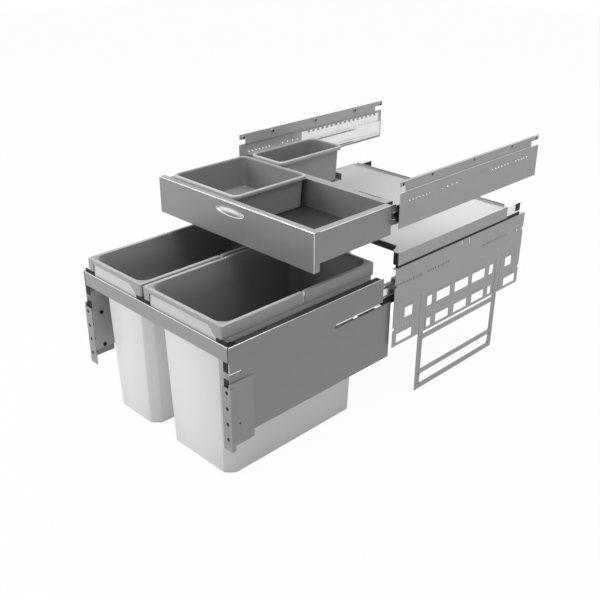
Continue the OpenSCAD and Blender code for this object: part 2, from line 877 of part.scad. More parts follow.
// A black cap on the front end of the middle member: the last member slides through it
module drawer_runner_caps() {
    y = [drawer_mid_y[0] - drawer_cap_len, drawer_mid_y[0]];
    low = sheet + gap;
    slide = inner_inset - gap;
    color(black) placed() both_sides() at_drawer_runner() difference() {
        block([cage_web, mid_reach], y, [low, runner_h - low]);
        block([inner_lip - gap, runner_d], inset(y, -cut), [slide, runner_h - slide]);
    }
}

module drawer_ball_cages() {
    color(bright) placed() both_sides() at_drawer_runner() {
        outer_cage([drawer_mid_y[0] + drawer_outer_cage, drawer_mid_y[1] - cage_end]);
        inner_cage([drawer_mid_y[0] + cage_front, drawer_mid_y[0] + drawer_inner_cage]);
    }
}

// Drawer

module drawer_front() {
    x = [-front_w / 2, front_w / 2];
    y = [drawer_y, drawer_wall_y];
    color(steel) placed() difference() {
        block(x, y, [front_z, front_z + front_h]);
        block(inset(x, sheet), inset(y, sheet), [front_z - cut, front_z + front_h - sheet]);
    }
}

module drawer_side(s) {
    x = [drawer_in_x, drawer_x];
    y = [drawer_wall_y, drawer_back_y];
    color(steel) placed() on_side(s) {
        difference() {
            block(x, y, [floor_z, drawer_top]);
            block(inset(x, sheet), [y[0] - cut, y[1] + cut], [floor_z - cut, drawer_top - sheet]);
        }
        block([drawer_x - sheet, drawer_x], [drawer_back_y, drawer_back_y + side_tail],
              [drawer_top - side_tail_h, drawer_top]);
    }
}

module drawer_back() {
    y = [drawer_back_y - sheet, drawer_back_y];
    z = drawer_top - sheet;
    deep = drawer_back_y - sheet + back_shelf_d;
    shelf = [tray_right_x + shelf_gap, drawer_in_x];
    color(steel) placed() difference() {
        union() {
            block([-drawer_in_x, drawer_in_x], y, [floor_z + sheet, drawer_top]);
            block([-drawer_in_x, drawer_in_x], [y[0], drawer_back_y + back_flange_d], [z, drawer_top]);
            block(shelf, [y[0], deep], [z, drawer_top]);
            block(shelf, [deep - sheet, deep], [z - back_lip_h, drawer_top]);
        }
        block(back_slot_x, [deep - back_slot_y[1], deep - back_slot_y[0]], [z - cut, drawer_top + cut]);
    }
}

module drawer_floor() {
    color(dark_grey) placed()
        block([-drawer_in_x, drawer_in_x], [drawer_wall_y, drawer_back_y], [floor_z, floor_z + sheet]);
}

// The badge is the lens that two circles share
module drawer_badge() {
    color(bright) placed() translate([0, drawer_y, badge_z]) rotate([90, 0, 0]) linear_extrude(badge_t)
        intersection() {
            translate([0, badge_r - badge_h / 2]) circle(badge_r, $fn = 96);
            translate([0, badge_h / 2 - badge_r]) circle(badge_r, $fn = 96);
        }
}

module rear_tray() {
    y = [drawer_back_y, drawer_back_y + rear_tray_len];
    color(steel) placed() {
        block([-arm_in, tray_right_x], y, [front_z, front_z + sheet]);
        block([-arm_in, tray_right_x], [y[0], y[0] + sheet], [front_z, floor_z + 2 * sheet]);
        block([-arm_in, -arm_in + sheet], y, [front_z, drawer_top]);
        block([-arm_in, tray_right_x], [y[1] - sheet, y[1]], [front_z, floor_z + 2 * sheet]);
    }
}

module runner_arms() {
    low = drawer_runner_low - arm_drop;
    z = [low, low + arm_h];
    color(steel) placed() both_sides() {
        block([arm_in, arm_out], [drawer_back_y - arm_overlap, drawer_back_y + side_tail + gap], z);
        block([arm_in, drawer_x], [drawer_back_y + side_tail + gap, arm_y1], z);
    }
}

module drawer_runner_moving(s) {
    color(bright) placed() on_side(s) at_drawer_runner() runner_moving(drawer_moving_y);
}

// A tub hangs in the drawer by its wall and has a rolled rim
module tub(x, y, z) {
    difference() {
        union() {
            drafted(inset(x, tub_rim), inset(y, tub_rim), [z[0], z[1] - cut], tub_corner, tub_draft);
            slab(x, y, [z[1] - tub_skirt_h, z[1]], tub_corner);
        }
        drafted(inset(x, tub_rim + tub_wall), inset(y, tub_rim + tub_wall),
                [z[0] + tub_wall, z[1] + cut], tub_corner - tub_wall, tub_draft);
        difference() {
            slab(inset(x, tub_rim_wall), inset(y, tub_rim_wall),
                 [z[1] - tub_skirt_h - cut, z[1] - tub_rim_t], tub_corner - tub_rim_wall);
            slab(inset(x, tub_rim), inset(y, tub_rim), [z[1] - tub_skirt_h - 2 * cut, z[1]], tub_corner);
        }
    }
}

module front_tub() {
    color(grey) placed() tub([tub_x, tub_x + tub_w], [tub_y, tub_y + tub_len], [tub_z, tub_top_z]);
}

module back_tub() {
    color(grey) placed()
        tub([small_tub_x, small_tub_x + small_tub_w], [small_tub_y, small_tub_y + small_tub_len],
            [small_tub_z, tub_top_z]);
}

// Bin frame

module frame_front_bar() {
    bend_y = front_y + end_slot_d;
    color(light_grey) placed() {
        block([-bar_half, bar_half], [front_y, front_y + sheet], [bar_z, frame_z]);
        block([-bar_half, bar_half], [front_y, front_y + hem], [frame_z - sheet, frame_z]);
        block([-collar_half, collar_half], [front_y, front_y + ledge_d], [bar_z, bar_z + sheet]);
        both_sides() {
            block([corner_x, bar_half], [front_y, bend_y], [bar_z, frame_z]);
            block([corner_x, panel_in], [bend_y - sheet, bend_y], [bar_z, frame_z]);
            block([panel_in - sheet, panel_in], [bend_y - sheet, front_y + tab_len],
                  [latch_z[1] + 2 * gap, frame_z]);
        }
    }
}

module panel_outline() {
    difference() {
        translate([front_y, panel_z]) square([panel_len, panel_h]);
        translate([panel_end - panel_back_step, slot_top]) square([panel_back_step + cut, panel_h]);
        translate([panel_end - slot_len, slot_floor]) square([slot_len + cut, slot_h]);
    }
}

module frame_side(s) {
    lip_y = [panel_end - slot_len, panel_end - panel_back_step];
    color(steel) placed() on_side(s) difference() {
        union() {
            side_sheet([panel_in, panel_out]) panel_outline();
            block([panel_out, panel_out + slot_lip], lip_y, [slot_floor - sheet, slot_floor]);
        }
        for (z = bracket_screw_z)
            hole_x([panel_in - cut, panel_out + cut], bracket_screw_y, z, screw_r + gap);
        block([panel_out - groove_d, panel_out + cut], [front_y - cut, front_y + pocket_len],
              [bracket_side_z[1], bar_z - tab_drop]);
    }
}

module frame_back_bar() {
    y = [back_bar_y - sheet, back_bar_y];
    color(steel) placed() {
        block([-panel_in, panel_in], y, [back_bar_z, back_bar_z + back_bar_h]);
        block([-collar_half, collar_half], y, [back_bar_z, bar_z + sheet]);
        block([-collar_half, collar_half], [back_bar_y - ledge_d, back_bar_y], [bar_z, bar_z + sheet]);
        both_sides()
            block([panel_in - sheet, panel_in], [back_bar_y, back_bar_y + tab_len],
                  [back_bar_z, back_bar_z + back_bar_h]);
    }
}

module door_bracket(s) {
    x1 = bracket_out + bracket_t;
    z = [bracket_z, bracket_z + bracket_h];
    color(light_grey) placed() on_side(s) difference() {
        union() {
            block([x1 - bracket_w, x1], [bracket_y, bracket_y + bracket_t], z);
            block([bracket_out, x1], [bracket_y, bracket_y + bracket_channel_d], z);
            block([panel_out, panel_out + bracket_t], [bracket_y, bracket_y + bracket_len], bracket_side_z);
            block([panel_out, bracket_out], [bracket_y, bracket_y + bracket_raised_len], bracket_side_z);
        }
        for (i = [0 : bracket_holes - 1])
            hole_y(bracket_hole_x, [bracket_y - cut, bracket_y + bracket_t + cut],
                   bracket_hole_z + i * system_pitch, door_hole_r);
        for (pz = bracket_screw_z)
            hole_x([panel_out - cut, panel_out + bracket_t], bracket_screw_y, pz, screw_r + gap);
        hole_x([panel_out + bracket_t, bracket_out + cut], bracket_adjuster[0], bracket_adjuster[1],
               adjuster_r + gap);
    }
}

// Black sleeves behind the door screw holes, and a black adjuster in each side
module door_sleeves() {
    y = [bracket_y + bracket_t, bracket_y + bracket_t + sleeve_len];
    color(black) placed() both_sides() {
        for (i = [0 : bracket_holes - 1]) difference() {
            hole_y(bracket_hole_x, y, bracket_hole_z + i * system_pitch, sleeve_r);
            hole_y(bracket_hole_x, inset(y, -cut), bracket_hole_z + i * system_pitch, door_hole_r);
        }
        hole_x([panel_out + bracket_t, bracket_out], bracket_adjuster[0], bracket_adjuster[1], adjuster_r);
    }
}

module bracket_screws() {
    color(bright) placed() both_sides()
        for (z = bracket_screw_z)
            screw([panel_in, panel_out + bracket_t], bracket_screw_y, z);
}

// Black blocks and strips that keep the two bins apart and away from the corners, and, below the
// front bar, the black plates round the runner's latch
module frame_spacers() {
    middle = [left_bin[1] - lip_inset + gap, right_bin[0] + lip_inset - gap];
    z = [bar_z + sheet, bar_z + sheet + spacer_h];
    strip_y = [front_y + hem, collar_y[0] + lip_inset - gap];
    strip_z = [bar_z + sheet, collar_z - gap];
    guide_x = panel_in - latch_guide_w;
    color(black) placed() {
        block(middle, [front_y + hem, front_y + ledge_d], z);
        block(middle, [back_bar_y - ledge_d, back_bar_y], z);
        block([left_bin[1] - arch_in, right_bin[0] + arch_in], strip_y, strip_z);
        both_sides() {
            block([collar_half - 1, corner_x], [front_y + sheet, front_y + tab_len],
                  [bin_runner_z + runner_h + cut, frame_z - sheet]);
            block([collar_half - arch_in, corner_x], strip_y, strip_z);
            block([guide_x, panel_in], latch_guide_y, [latch_guide_z, latch_z[0] - 2 * gap]);
            block([guide_x, panel_in - sheet], latch_guide_y, [latch_z[1] + 2 * gap, bar_z]);
        }
    }
}

module bin_runner_moving(s) {
    color(bright) placed() on_side(s) at_bin_runner() runner_moving(bin_moving_y);
}

// Middle members of the bin runners

module bin_runner_mid(s) {
    color(bright) placed() on_side(s) at_bin_runner() runner_mid(bin_mid_y);
}

module bin_ball_cages() {
    color(bright) placed() both_sides() at_bin_runner() {
        outer_cage([bin_mid_y[0] + bin_outer_cage, bin_mid_y[1] - cage_end]);
        inner_cage([bin_mid_y[0] + cage_front, bin_mid_y[0] + bin_inner_cage]);
    }
}

// Bins

module bin(x) {
    color(white) placed() difference() {
        union() {
            bevelled_block(x, collar_y, [bin_z, flange_top - gap], bin_inset);
            slab(inset(x, lip_inset), inset(collar_y, lip_inset), [flange_z, lip_top], collar_corner);
        }
        bevelled_block(x, collar_y, [bin_z + bin_wall, flange_top + cut], bin_inset + bin_wall);
        slab(inset(x, lip_inset + lip_wall), inset(collar_y, lip_inset + lip_wall),
             [flange_top, lip_top + cut], collar_corner);
    }
}

module liner(x) {
    low = liner_inset;
    color(dark_grey) placed() difference() {
        union() {
            bevelled_block(x, collar_y, [liner_z, liner_flange + gap], low);
            bevelled_slab(x, collar_y, [liner_flange, liner_flange + liner_wall], low - liner_rim);
        }
        bevelled_block(x, collar_y, [liner_z + liner_wall, liner_flange + liner_wall + cut],
                       low + liner_wall);
    }
}

// The arch in the front of the collar shows the bin's lip behind it
module arch(x) {
    translate([0, collar_y[0] + collar_wall + gap / 2, 0]) rotate([90, 0, 0])
        linear_extrude(collar_wall + cut) polygon([
            [x[0] + arch_in, collar_z - cut], [x[0] + arch_in + arch_lean, collar_z + arch_h],
            [x[1] - arch_in - arch_slope, collar_z + arch_h], [x[1] - arch_in, collar_z - cut]]);
}

module collar(x) {
    mid_y = (collar_y[0] + collar_y[1]) / 2;
    notch_y = [mid_y - notch_w / 2, mid_y + notch_w / 2];
    base = liner_inset + liner_wall;
    color(light_grey) placed() difference() {
        union() {
            difference() {
                slab(x, collar_y, [collar_z, collar_top_z], collar_corner);
                slab(inset(x, collar_wall), inset(collar_y, collar_wall),
                     [collar_z - cut, collar_top_z - collar_wall], collar_corner - collar_wall);
            }
            hull($fn = hull_fn) {
                bevelled_slab(x, collar_y, [funnel_z, funnel_z + thin], base - collar_wall);
                slab(inset(x, collar_rim - collar_wall), inset(collar_y, collar_rim - collar_wall),
                     [collar_top_z - 1.5, collar_top_z - 1], opening_r);
            }
        }
        hull($fn = hull_fn) {
            bevelled_slab(x, collar_y, [funnel_z - cut, funnel_z - cut + thin], base);
            slab(inset(x, collar_rim), inset(collar_y, collar_rim),
                 [collar_top_z + 1 - thin, collar_top_z + 1], opening_r);
        }
        arch(x);
        for (edge = [[x[0] - cut, x[0] + lip_inset], [x[1] - lip_inset, x[1] + cut]])
            block(edge, notch_y, [collar_top_z - notch_h, collar_top_z + cut]);
        for (edge = [[x[0] - cut, x[0] + collar_rim + cut], [x[1] - collar_rim - cut, x[1] + cut]])
            block(edge, notch_y, [collar_top_z - notch_d, collar_top_z + cut]);
    }
}

module bag_clips(x) {
    mid_y = (collar_y[0] + collar_y[1]) / 2;
    y = [mid_y - notch_w / 2 + gap, mid_y + notch_w / 2 - gap];
    z = [lip_top + gap, lip_top + gap + clip_h];
    color(white) placed()
        for (edge = [[x[0] + clip_x[0], x[0] + clip_x[1]], [x[1] - clip_x[1], x[1] - clip_x[0]]])
            block(edge, y, z);
}

top_rail(-1);  // top_rail_left
top_rail(1);  // top_rail_right
runner_hangers();
drawer_runner_fixed(-1);  // drawer_runner_fixed_left
drawer_runner_fixed(1);  // drawer_runner_fixed_right
side_plate(-1);  // side_plate_left
side_plate(1);  // side_plate_right
bin_runner_fixed(-1);  // bin_runner_fixed_left
bin_runner_fixed(1);  // bin_runner_fixed_right
runner_carriers();
carrier_screws();
runner_latches();
lid_rail(-1);  // lid_rail_left
lid_rail(1);  // lid_rail_right
lid_rail_seats();
lid_rail_caps();
leg_guides();
leg_frame(-1);  // leg_frame_left
leg_frame(1);  // leg_frame_right
lid_sheet();
lid_channels();
lid_lip();
drawer_runner_mid(-1);  // drawer_runner_mid_left
drawer_runner_mid(1);  // drawer_runner_mid_right
drawer_runner_caps();
drawer_ball_cages();
drawer_front();
drawer_side(-1);  // drawer_side_left
drawer_side(1);  // drawer_side_right
drawer_back();
drawer_floor();
drawer_badge();
rear_tray();
runner_arms();
drawer_runner_moving(-1);  // drawer_runner_moving_left
drawer_runner_moving(1);  // drawer_runner_moving_right
front_tub();
back_tub();
frame_front_bar();
frame_side(-1);  // frame_side_left
frame_side(1);  // frame_side_right
frame_back_bar();
door_bracket(-1);  // door_bracket_left
door_bracket(1);  // door_bracket_right
door_sleeves();
bracket_screws();
frame_spacers();
bin_runner_moving(-1);  // bin_runner_moving_left
bin_runner_moving(1);  // bin_runner_moving_right
bin_runner_mid(-1);  // bin_runner_mid_left
bin_runner_mid(1);  // bin_runner_mid_right
bin_ball_cages();
bin(left_bin);  // bin_left
bin(right_bin);  // bin_right
liner(left_bin);  // liner_left
liner(right_bin);  // liner_right
collar(left_bin);  // collar_left
collar(right_bin);  // collar_right
bag_clips(left_bin);  // bag_clips_left
bag_clips(right_bin);  // bag_clips_right
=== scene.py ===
"""Dresses the pull-out waste unit: steel, zinc and moulded plastic finishes, smooth bins, collars and tubs,
small fixings, dark pieces and bright rods that paint shade in holes and gaps and highlights along edges, and
a studio."""

import math

import bmesh
import bpy
import numpy as np
from bpy.props import FloatProperty, FloatVectorProperty, IntProperty, PointerProperty
from mathutils import Matrix, Vector


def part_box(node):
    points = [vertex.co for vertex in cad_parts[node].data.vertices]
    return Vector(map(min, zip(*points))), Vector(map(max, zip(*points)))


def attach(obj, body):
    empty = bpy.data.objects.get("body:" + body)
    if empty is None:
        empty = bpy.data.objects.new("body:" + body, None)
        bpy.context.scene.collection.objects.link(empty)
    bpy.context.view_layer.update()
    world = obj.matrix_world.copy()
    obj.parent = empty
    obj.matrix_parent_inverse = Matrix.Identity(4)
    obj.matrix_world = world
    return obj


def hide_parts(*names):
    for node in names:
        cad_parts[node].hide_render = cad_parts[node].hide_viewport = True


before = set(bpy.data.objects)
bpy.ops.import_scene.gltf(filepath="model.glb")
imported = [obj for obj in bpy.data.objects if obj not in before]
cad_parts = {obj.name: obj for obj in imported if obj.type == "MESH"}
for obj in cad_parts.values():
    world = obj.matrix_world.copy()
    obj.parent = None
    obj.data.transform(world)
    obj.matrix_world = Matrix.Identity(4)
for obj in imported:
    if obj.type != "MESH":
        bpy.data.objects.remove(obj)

bl_info = {
    "name": "Waste Unit Dresser",
    "version": (1, 0, 0),
    "blender": (4, 5, 0),
    "location": "View3D > Sidebar > Waste Unit",
    "description": "Finishes and smooth surfaces for a pull-out waste unit",
    "category": "Object",
}

SIDES = {"left": -1, "right": 1}

# How metallic the finishes look: a thick pale coat, the satin coat and bare or plated metal
PALE_COAT = 0.15
SATIN_COAT = 0.45
PLATING = 1.0

# Edges between faces that meet at more than this angle, in degrees, stay sharp
CREASE = 35

# The sockets of a colour Mix node, which have to be found by number
MIX_FACTOR, MIX_FIRST, MIX_SECOND, MIX_RESULT = 0, 6, 7, 2


# Settings that a user would change


def colour_setting(name, description, default):
    """A colour that a user can pick."""
    return FloatVectorProperty(name=name, description=description, subtype="COLOR", default=default)


def number_setting(name, description, default, **kind):
    """A number that a user can set, with its unit and limits."""
    return FloatProperty(name=name, description=description, default=default, **kind)


class SteelSettings(bpy.types.PropertyGroup):
    """Colours and grain of the coated and plated steel"""

    rail_coat: colour_setting(
        "Rail coat", "Satin grey coat of the top rails, side plates and legs", (0.415, 0.406, 0.417)
    )
    coat: colour_setting(
        "Coat", "Darker satin grey coat of the drawer and the bin frame", (0.275, 0.269, 0.277)
    )
    light_coat: colour_setting(
        "Light coat", "Coat of the front bar and the door brackets", (0.300, 0.292, 0.300)
    )
    lid_coat: colour_setting("Lid coat", "Pale coat of the lid", (0.38, 0.372, 0.382))
    zinc: colour_setting("Zinc", "Bright plating of the runners", (0.78, 0.78, 0.79))
    # The rods along edges and slots take this bright colour as painted highlights
    edge: colour_setting("Bare edge", "Bright rolled edges", (0.86, 0.86, 0.87))
    rough: number_setting("Roughness", "Roughness of the coat", 0.42, min=0.05, max=1.0)
    grain: number_setting("Grain", "Spacing of the fine grain in the coat", 0.0016, subtype="DISTANCE")


class PlasticSettings(bpy.types.PropertyGroup):
    """Colours of the moulded pieces"""

    bin: colour_setting("Bin", "Off-white of the bins", (0.80, 0.79, 0.80))
    collar: colour_setting("Collar", "Grey of the collars", (0.325, 0.316, 0.328))
    liner: colour_setting("Liner", "Dark grey inside the bins", (0.205, 0.196, 0.197))
    tub: colour_setting("Tub", "Grey of the drawer tubs outside", (0.370, 0.362, 0.368))
    # The tubs' inside colour is painted shade in their hollows
    tub_painted_hollow_shade: colour_setting("Tub inside", "Grey of the drawer tubs inside", (0.195, 0.190, 0.194))
    black: colour_setting("Black", "Black spacers, caps and latches", (0.012, 0.012, 0.013))
    clip: colour_setting("Clip", "White bag clips", (0.80, 0.80, 0.79))
    pebble: number_setting("Pebble", "Spacing of the fine moulded texture", 0.0009, subtype="DISTANCE")


class ShapeSettings(bpy.types.PropertyGroup):
    """Roundings of the moulded pieces, and the rolled edges"""

    corner_steps: IntProperty(
        name="Corner steps",
        description="Points round each corner of a moulded piece",
        default=14,
        min=4,
    )
    bevel: FloatProperty(
        name="Bevel",
        description="How flat the bevelled corners are: 1 is a quarter circle, 2 a straight bevel",
        default=1.75,
        min=1.0,
        max=2.0,
    )
    hem: number_setting(
        "Rolled edge", "Radius of the rolled edges of the sheet steel", 0.0006, subtype="DISTANCE"
    )


class StudioSettings(bpy.types.PropertyGroup):
    """Camera and light"""

    lens: number_setting("Lens", "Focal length on a sensor 36 mm wide, in millimetres", 50.51)
    azimuth: number_setting(
        "Azimuth", "Turn of the camera round the unit", math.radians(45.07), subtype="ANGLE"
    )
    pitch: number_setting("Pitch", "How far the camera looks down", math.radians(26.10), subtype="ANGLE")
    roll: number_setting(
        "Roll", "Turn of the camera about its own axis", math.radians(0.27), subtype="ANGLE"
    )
    place: FloatVectorProperty(
        name="Place",
        description="Where the camera stands",
        subtype="TRANSLATION",
        default=(1.1658, -1.2293, 0.9908),
    )
    sky: number_setting("Sky", "Strength of the light from all round", 0.40, min=0.0)
    lamp: number_setting("Lamp", "Power of the large lamp overhead, in watts", 44.0, min=0.0)
    fill: number_setting("Fill", "Power of the lamp at the front left, in watts", 28.0, min=0.0)
    back: number_setting("Back", "Power of the lamp behind the unit on the left, in watts", 9.0, min=0.0)


class WasteUnitSettings(bpy.types.PropertyGroup):
    """All settings of the unit"""

    steel: PointerProperty(type=SteelSettings)
    plastic: PointerProperty(type=PlasticSettings)
    shape: PointerProperty(type=ShapeSettings)
    studio: PointerProperty(type=StudioSettings)


# Node groups


def new_group(name, inputs, outputs):
    """A shader node group with its sockets, its input node and its output node."""
    group = bpy.data.node_groups.new(name, "ShaderNodeTree")
    for label, kind, value in inputs:
        socket = group.interface.new_socket(label, in_out="INPUT", socket_type=kind)
        if value is not None:
            socket.default_value = value
    for label, kind in outputs:
        group.interface.new_socket(label, in_out="OUTPUT", socket_type=kind)
    return group, group.nodes.new("NodeGroupInput"), group.nodes.new("NodeGroupOutput")


def add(tree, kind, **values):
    """A node with its plain properties set."""
    node = tree.nodes.new(kind)
    for key, value in values.items():
        setattr(node, key, value)
    return node


def math_node(tree, operation, first, second, clamp=False):
    """A Math node; each input is a socket or a number."""
    node = add(tree, "ShaderNodeMath", operation=operation, use_clamp=clamp)
    for socket, value in zip(node.inputs, (first, second)):
        if isinstance(value, (int, float)):
            socket.default_value = value
        else:
            tree.links.new(value, socket)
    return node.outputs[0]


def swing(group, noise, amount):
    """A noise from 0 to 1, moved to swing round zero and scaled."""
    return math_node(group, "MULTIPLY", math_node(group, "SUBTRACT", noise.outputs[0], 0.5), amount)


def grain_group():
    """Rolled sheet under a thin coat: streaks along one axis and faint cloudy patches."""
    group, into, out = new_group(
        "sheet_grain",
        [
            ("Colour", "NodeSocketColor", (0.5, 0.5, 0.5, 1)),
            ("Stretch", "NodeSocketVector", (1, 1, 1)),
            ("Spacing", "NodeSocketFloat", 0.0016),
            ("Streaks", "NodeSocketFloat", 0.06),
            ("Patches", "NodeSocketFloat", 0.05),
            ("Roughness", "NodeSocketFloat", 0.4),
        ],
        [
            ("Colour", "NodeSocketColor"),
            ("Roughness", "NodeSocketFloat"),
            ("Height", "NodeSocketFloat"),
        ],
    )
    link = group.links.new
    place = add(group, "ShaderNodeTexCoord")
    stretch = add(group, "ShaderNodeVectorMath", operation="MULTIPLY")
    link(place.outputs["Object"], stretch.inputs[0])
    link(into.outputs["Stretch"], stretch.inputs[1])
    scale = math_node(group, "DIVIDE", 1.0, into.outputs["Spacing"])
    streak = add(group, "ShaderNodeTexNoise")
    streak.inputs["Detail"].default_value = 3
    link(stretch.outputs[0], streak.inputs["Vector"])
    link(scale, streak.inputs["Scale"])
    patch = add(group, "ShaderNodeTexNoise")
    patch.inputs["Scale"].default_value = 14
    patch.inputs["Detail"].default_value = 4
    link(place.outputs["Object"], patch.inputs["Vector"])
    streak_share = swing(group, streak, into.outputs["Streaks"])
    patch_share = swing(group, patch, into.outputs["Patches"])
    both = math_node(group, "ADD", streak_share, patch_share)
    factor = math_node(group, "MULTIPLY_ADD", both, 2.0)
    factor.node.inputs[2].default_value = 1.0
    colour = add(group, "ShaderNodeVectorMath", operation="SCALE")
    link(into.outputs["Colour"], colour.inputs[0])
    link(factor, colour.inputs["Scale"])
    link(colour.outputs[0], out.inputs["Colour"])
    rough = math_node(group, "MULTIPLY", into.outputs["Roughness"], factor, clamp=True)
    link(rough, out.inputs["Roughness"])
    link(streak.outputs[0], out.inputs["Height"])
    return group


def moulding_group():
    """Moulded plastic: fine pebbles and slow patches of tone."""
    group, into, out = new_group(
        "moulding",
        [
            ("Colour", "NodeSocketColor", (0.5, 0.5, 0.5, 1)),
            ("Pebble", "NodeSocketFloat", 0.0009),
            ("Patches", "NodeSocketFloat", 0.05),
            ("Roughness", "NodeSocketFloat", 0.5),
        ],
        [
            ("Colour", "NodeSocketColor"),
            ("Roughness", "NodeSocketFloat"),
            ("Height", "NodeSocketFloat"),
        ],
    )
    link = group.links.new
    place = add(group, "ShaderNodeTexCoord")
    pebble = add(group, "ShaderNodeTexVoronoi", feature="SMOOTH_F1")
    link(place.outputs["Object"], pebble.inputs["Vector"])
    link(math_node(group, "DIVIDE", 1.0, into.outputs["Pebble"]), pebble.inputs["Scale"])
    patch = add(group, "ShaderNodeTexNoise")
    patch.inputs["Scale"].default_value = 9
    patch.inputs["Detail"].default_value = 5
    link(place.outputs["Object"], patch.inputs["Vector"])
    factor = math_node(group, "ADD", swing(group, patch, into.outputs["Patches"]), 1.0)
    colour = add(group, "ShaderNodeVectorMath", operation="SCALE")
    link(into.outputs["Colour"], colour.inputs[0])
    link(factor, colour.inputs["Scale"])
    link(colour.outputs[0], out.inputs["Colour"])
    rough = math_node(group, "MULTIPLY", into.outputs["Roughness"], factor, clamp=True)
    link(rough, out.inputs["Roughness"])
    link(pebble.outputs["Distance"], out.inputs["Height"])
    return group


def blend_group(name):
    """A group that blends a colour for outside with one for inside, and the socket for its mask."""
    group, into, out = new_group(
        name,
        [("Outside", "NodeSocketColor", None), ("Inside", "NodeSocketColor", None)],
        [("Colour", "NodeSocketColor")],
    )
    blend = add(group, "ShaderNodeMix", data_type="RGBA")
    group.links.new(into.outputs["Outside"], blend.inputs[MIX_FIRST])
    group.links.new(into.outputs["Inside"], blend.inputs[MIX_SECOND])
    group.links.new(blend.outputs[MIX_RESULT], out.inputs["Colour"])
    return group, blend.inputs[MIX_FACTOR]


def two_tones_group():
    """One colour outside and another where the mesh's mark is set: a real darker tone on the collars, painted
    shade on the bins' flanges and in the tubs' hollows.
    """
    group, mask = blend_group("second_tone_and_painted_shade")
    attribute = add(group, "ShaderNodeAttribute", attribute_name="inside")
    group.links.new(attribute.outputs["Fac"], mask)
    return group


def inner_face_group():
    """One colour on a piece's outer face and another on the face that looks at the unit's middle plane, used
    as painted light on the panels' shaded inner faces. That face is where the product of the place along x,
    in metres, and the normal along x is below a negative limit."""
    group, mask = blend_group("painted_light_inner_face")
    beyond = -0.1
    place = add(group, "ShaderNodeTexCoord")
    product = add(group, "ShaderNodeMath", operation="MULTIPLY")
    for number, output in enumerate(("Object", "Normal")):
        split = add(group, "ShaderNodeSeparateXYZ")
        group.links.new(place.outputs[output], split.inputs[0])
        group.links.new(split.outputs["X"], product.inputs[number])
    group.links.new(math_node(group, "LESS_THAN", product.outputs[0], beyond), mask)
    return group


def shared(name, maker):
    """A node group that is made once."""
    return bpy.data.node_groups.get(name) or maker()


def start_material(name):
    """A material with its Principled shader."""
    material = bpy.data.materials.new(name)
    material.use_nodes = True
    shader = material.node_tree.nodes["Principled BSDF"]
    return material, material.node_tree, shader


def two_colours(tree, group, maker, name, outside, inside):
    """Feeds a group's colour from a two-colour group."""
    tones = add(tree, "ShaderNodeGroup", node_tree=shared(name, maker))
    tones.inputs["Outside"].default_value = (*outside, 1)
    tones.inputs["Inside"].default_value = (*inside, 1)
    tree.links.new(tones.outputs["Colour"], group.inputs["Colour"])


def plug(tree, group, shader, relief, strength):
    """Feeds the group's colour, roughness and height into the shader."""
    tree.links.new(group.outputs["Colour"], shader.inputs["Base Color"])
    tree.links.new(group.outputs["Roughness"], shader.inputs["Roughness"])
    bump = add(tree, "ShaderNodeBump")
    bump.inputs["Distance"].default_value = relief
    bump.inputs["Strength"].default_value = strength
    tree.links.new(group.outputs["Height"], bump.inputs["Height"])
    tree.links.new(bump.outputs["Normal"], shader.inputs["Normal"])


def sheet_steel(name, colour, metallic, rough, along, streaks=0.06, patches=0.05, inner=None):
    """Coated or plated sheet with its grain along one axis, and another colour on its inner face if asked,
    which paints light there.
    """
    steel = bpy.context.scene.waste_unit.steel
    material, tree, shader = start_material(name)
    group = add(tree, "ShaderNodeGroup", node_tree=shared("sheet_grain", grain_group))
    group.inputs["Colour"].default_value = (*colour, 1)
    if inner is not None:
        two_colours(tree, group, inner_face_group, "painted_light_inner_face", colour, inner)
    drawn_out = 0.03
    group.inputs["Stretch"].default_value = [drawn_out if axis == along else 1 for axis in "xyz"]
    group.inputs["Spacing"].default_value = steel.grain
    group.inputs["Streaks"].default_value = streaks
    group.inputs["Patches"].default_value = patches
    group.inputs["Roughness"].default_value = rough
    shader.inputs["Metallic"].default_value = metallic
    plug(tree, group, shader, relief=0.00004, strength=0.25)
    return material


def moulded(name, colour, rough, patches=0.05, strength=0.2, inside=None, shine=0.5):
    """Moulded plastic with a fine pebbled surface, and another colour where the piece is marked inside: a
    real darker tone on the collars, painted shade on the bins and tubs.
    """
    plastic = bpy.context.scene.waste_unit.plastic
    material, tree, shader = start_material(name)
    group = add(tree, "ShaderNodeGroup", node_tree=shared("moulding", moulding_group))
    group.inputs["Colour"].default_value = (*colour, 1)
    if inside is not None:
        two_colours(tree, group, two_tones_group, "second_tone_and_painted_shade", colour, inside)
    shader.inputs["Specular IOR Level"].default_value = shine
    group.inputs["Pebble"].default_value = plastic.pebble
    group.inputs["Patches"].default_value = patches
    group.inputs["Roughness"].default_value = rough
    plug(tree, group, shader, relief=0.00006, strength=strength)
    return material


# Surfaces


def outward_mesh(name, points, faces, same=1e-6):
    """A mesh from arrays whose faces look outwards. Points closer than a micrometre become one."""
    mesh = bpy.data.meshes.new(name)
    mesh.from_pydata(points.tolist(), [], faces)
    work = bmesh.new()
    work.from_mesh(mesh)
    bmesh.ops.remove_doubles(work, verts=work.verts, dist=same)
    bmesh.ops.recalc_face_normals(work, faces=work.faces)
    work.to_mesh(mesh)
    work.free()
    return mesh


def smooth(mesh, crease=CREASE):
    """Smooth shading, but not over creases."""
    mesh.shade_smooth()
    mesh.set_sharp_from_angle(angle=math.radians(crease))


def make_piece(name, points, faces, body, material, stands_for=(), crease=CREASE):
    """A mesh piece from numpy arrays, with outward faces, that rides on a body."""
    mesh = outward_mesh(name, points, faces)
    smooth(mesh, crease)
    mesh.materials.append(material)
    piece = bpy.data.objects.new(name, mesh)
    bpy.context.scene.collection.objects.link(piece)
    if stands_for:
        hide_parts(*stands_for)
    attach(piece, body)
    return piece


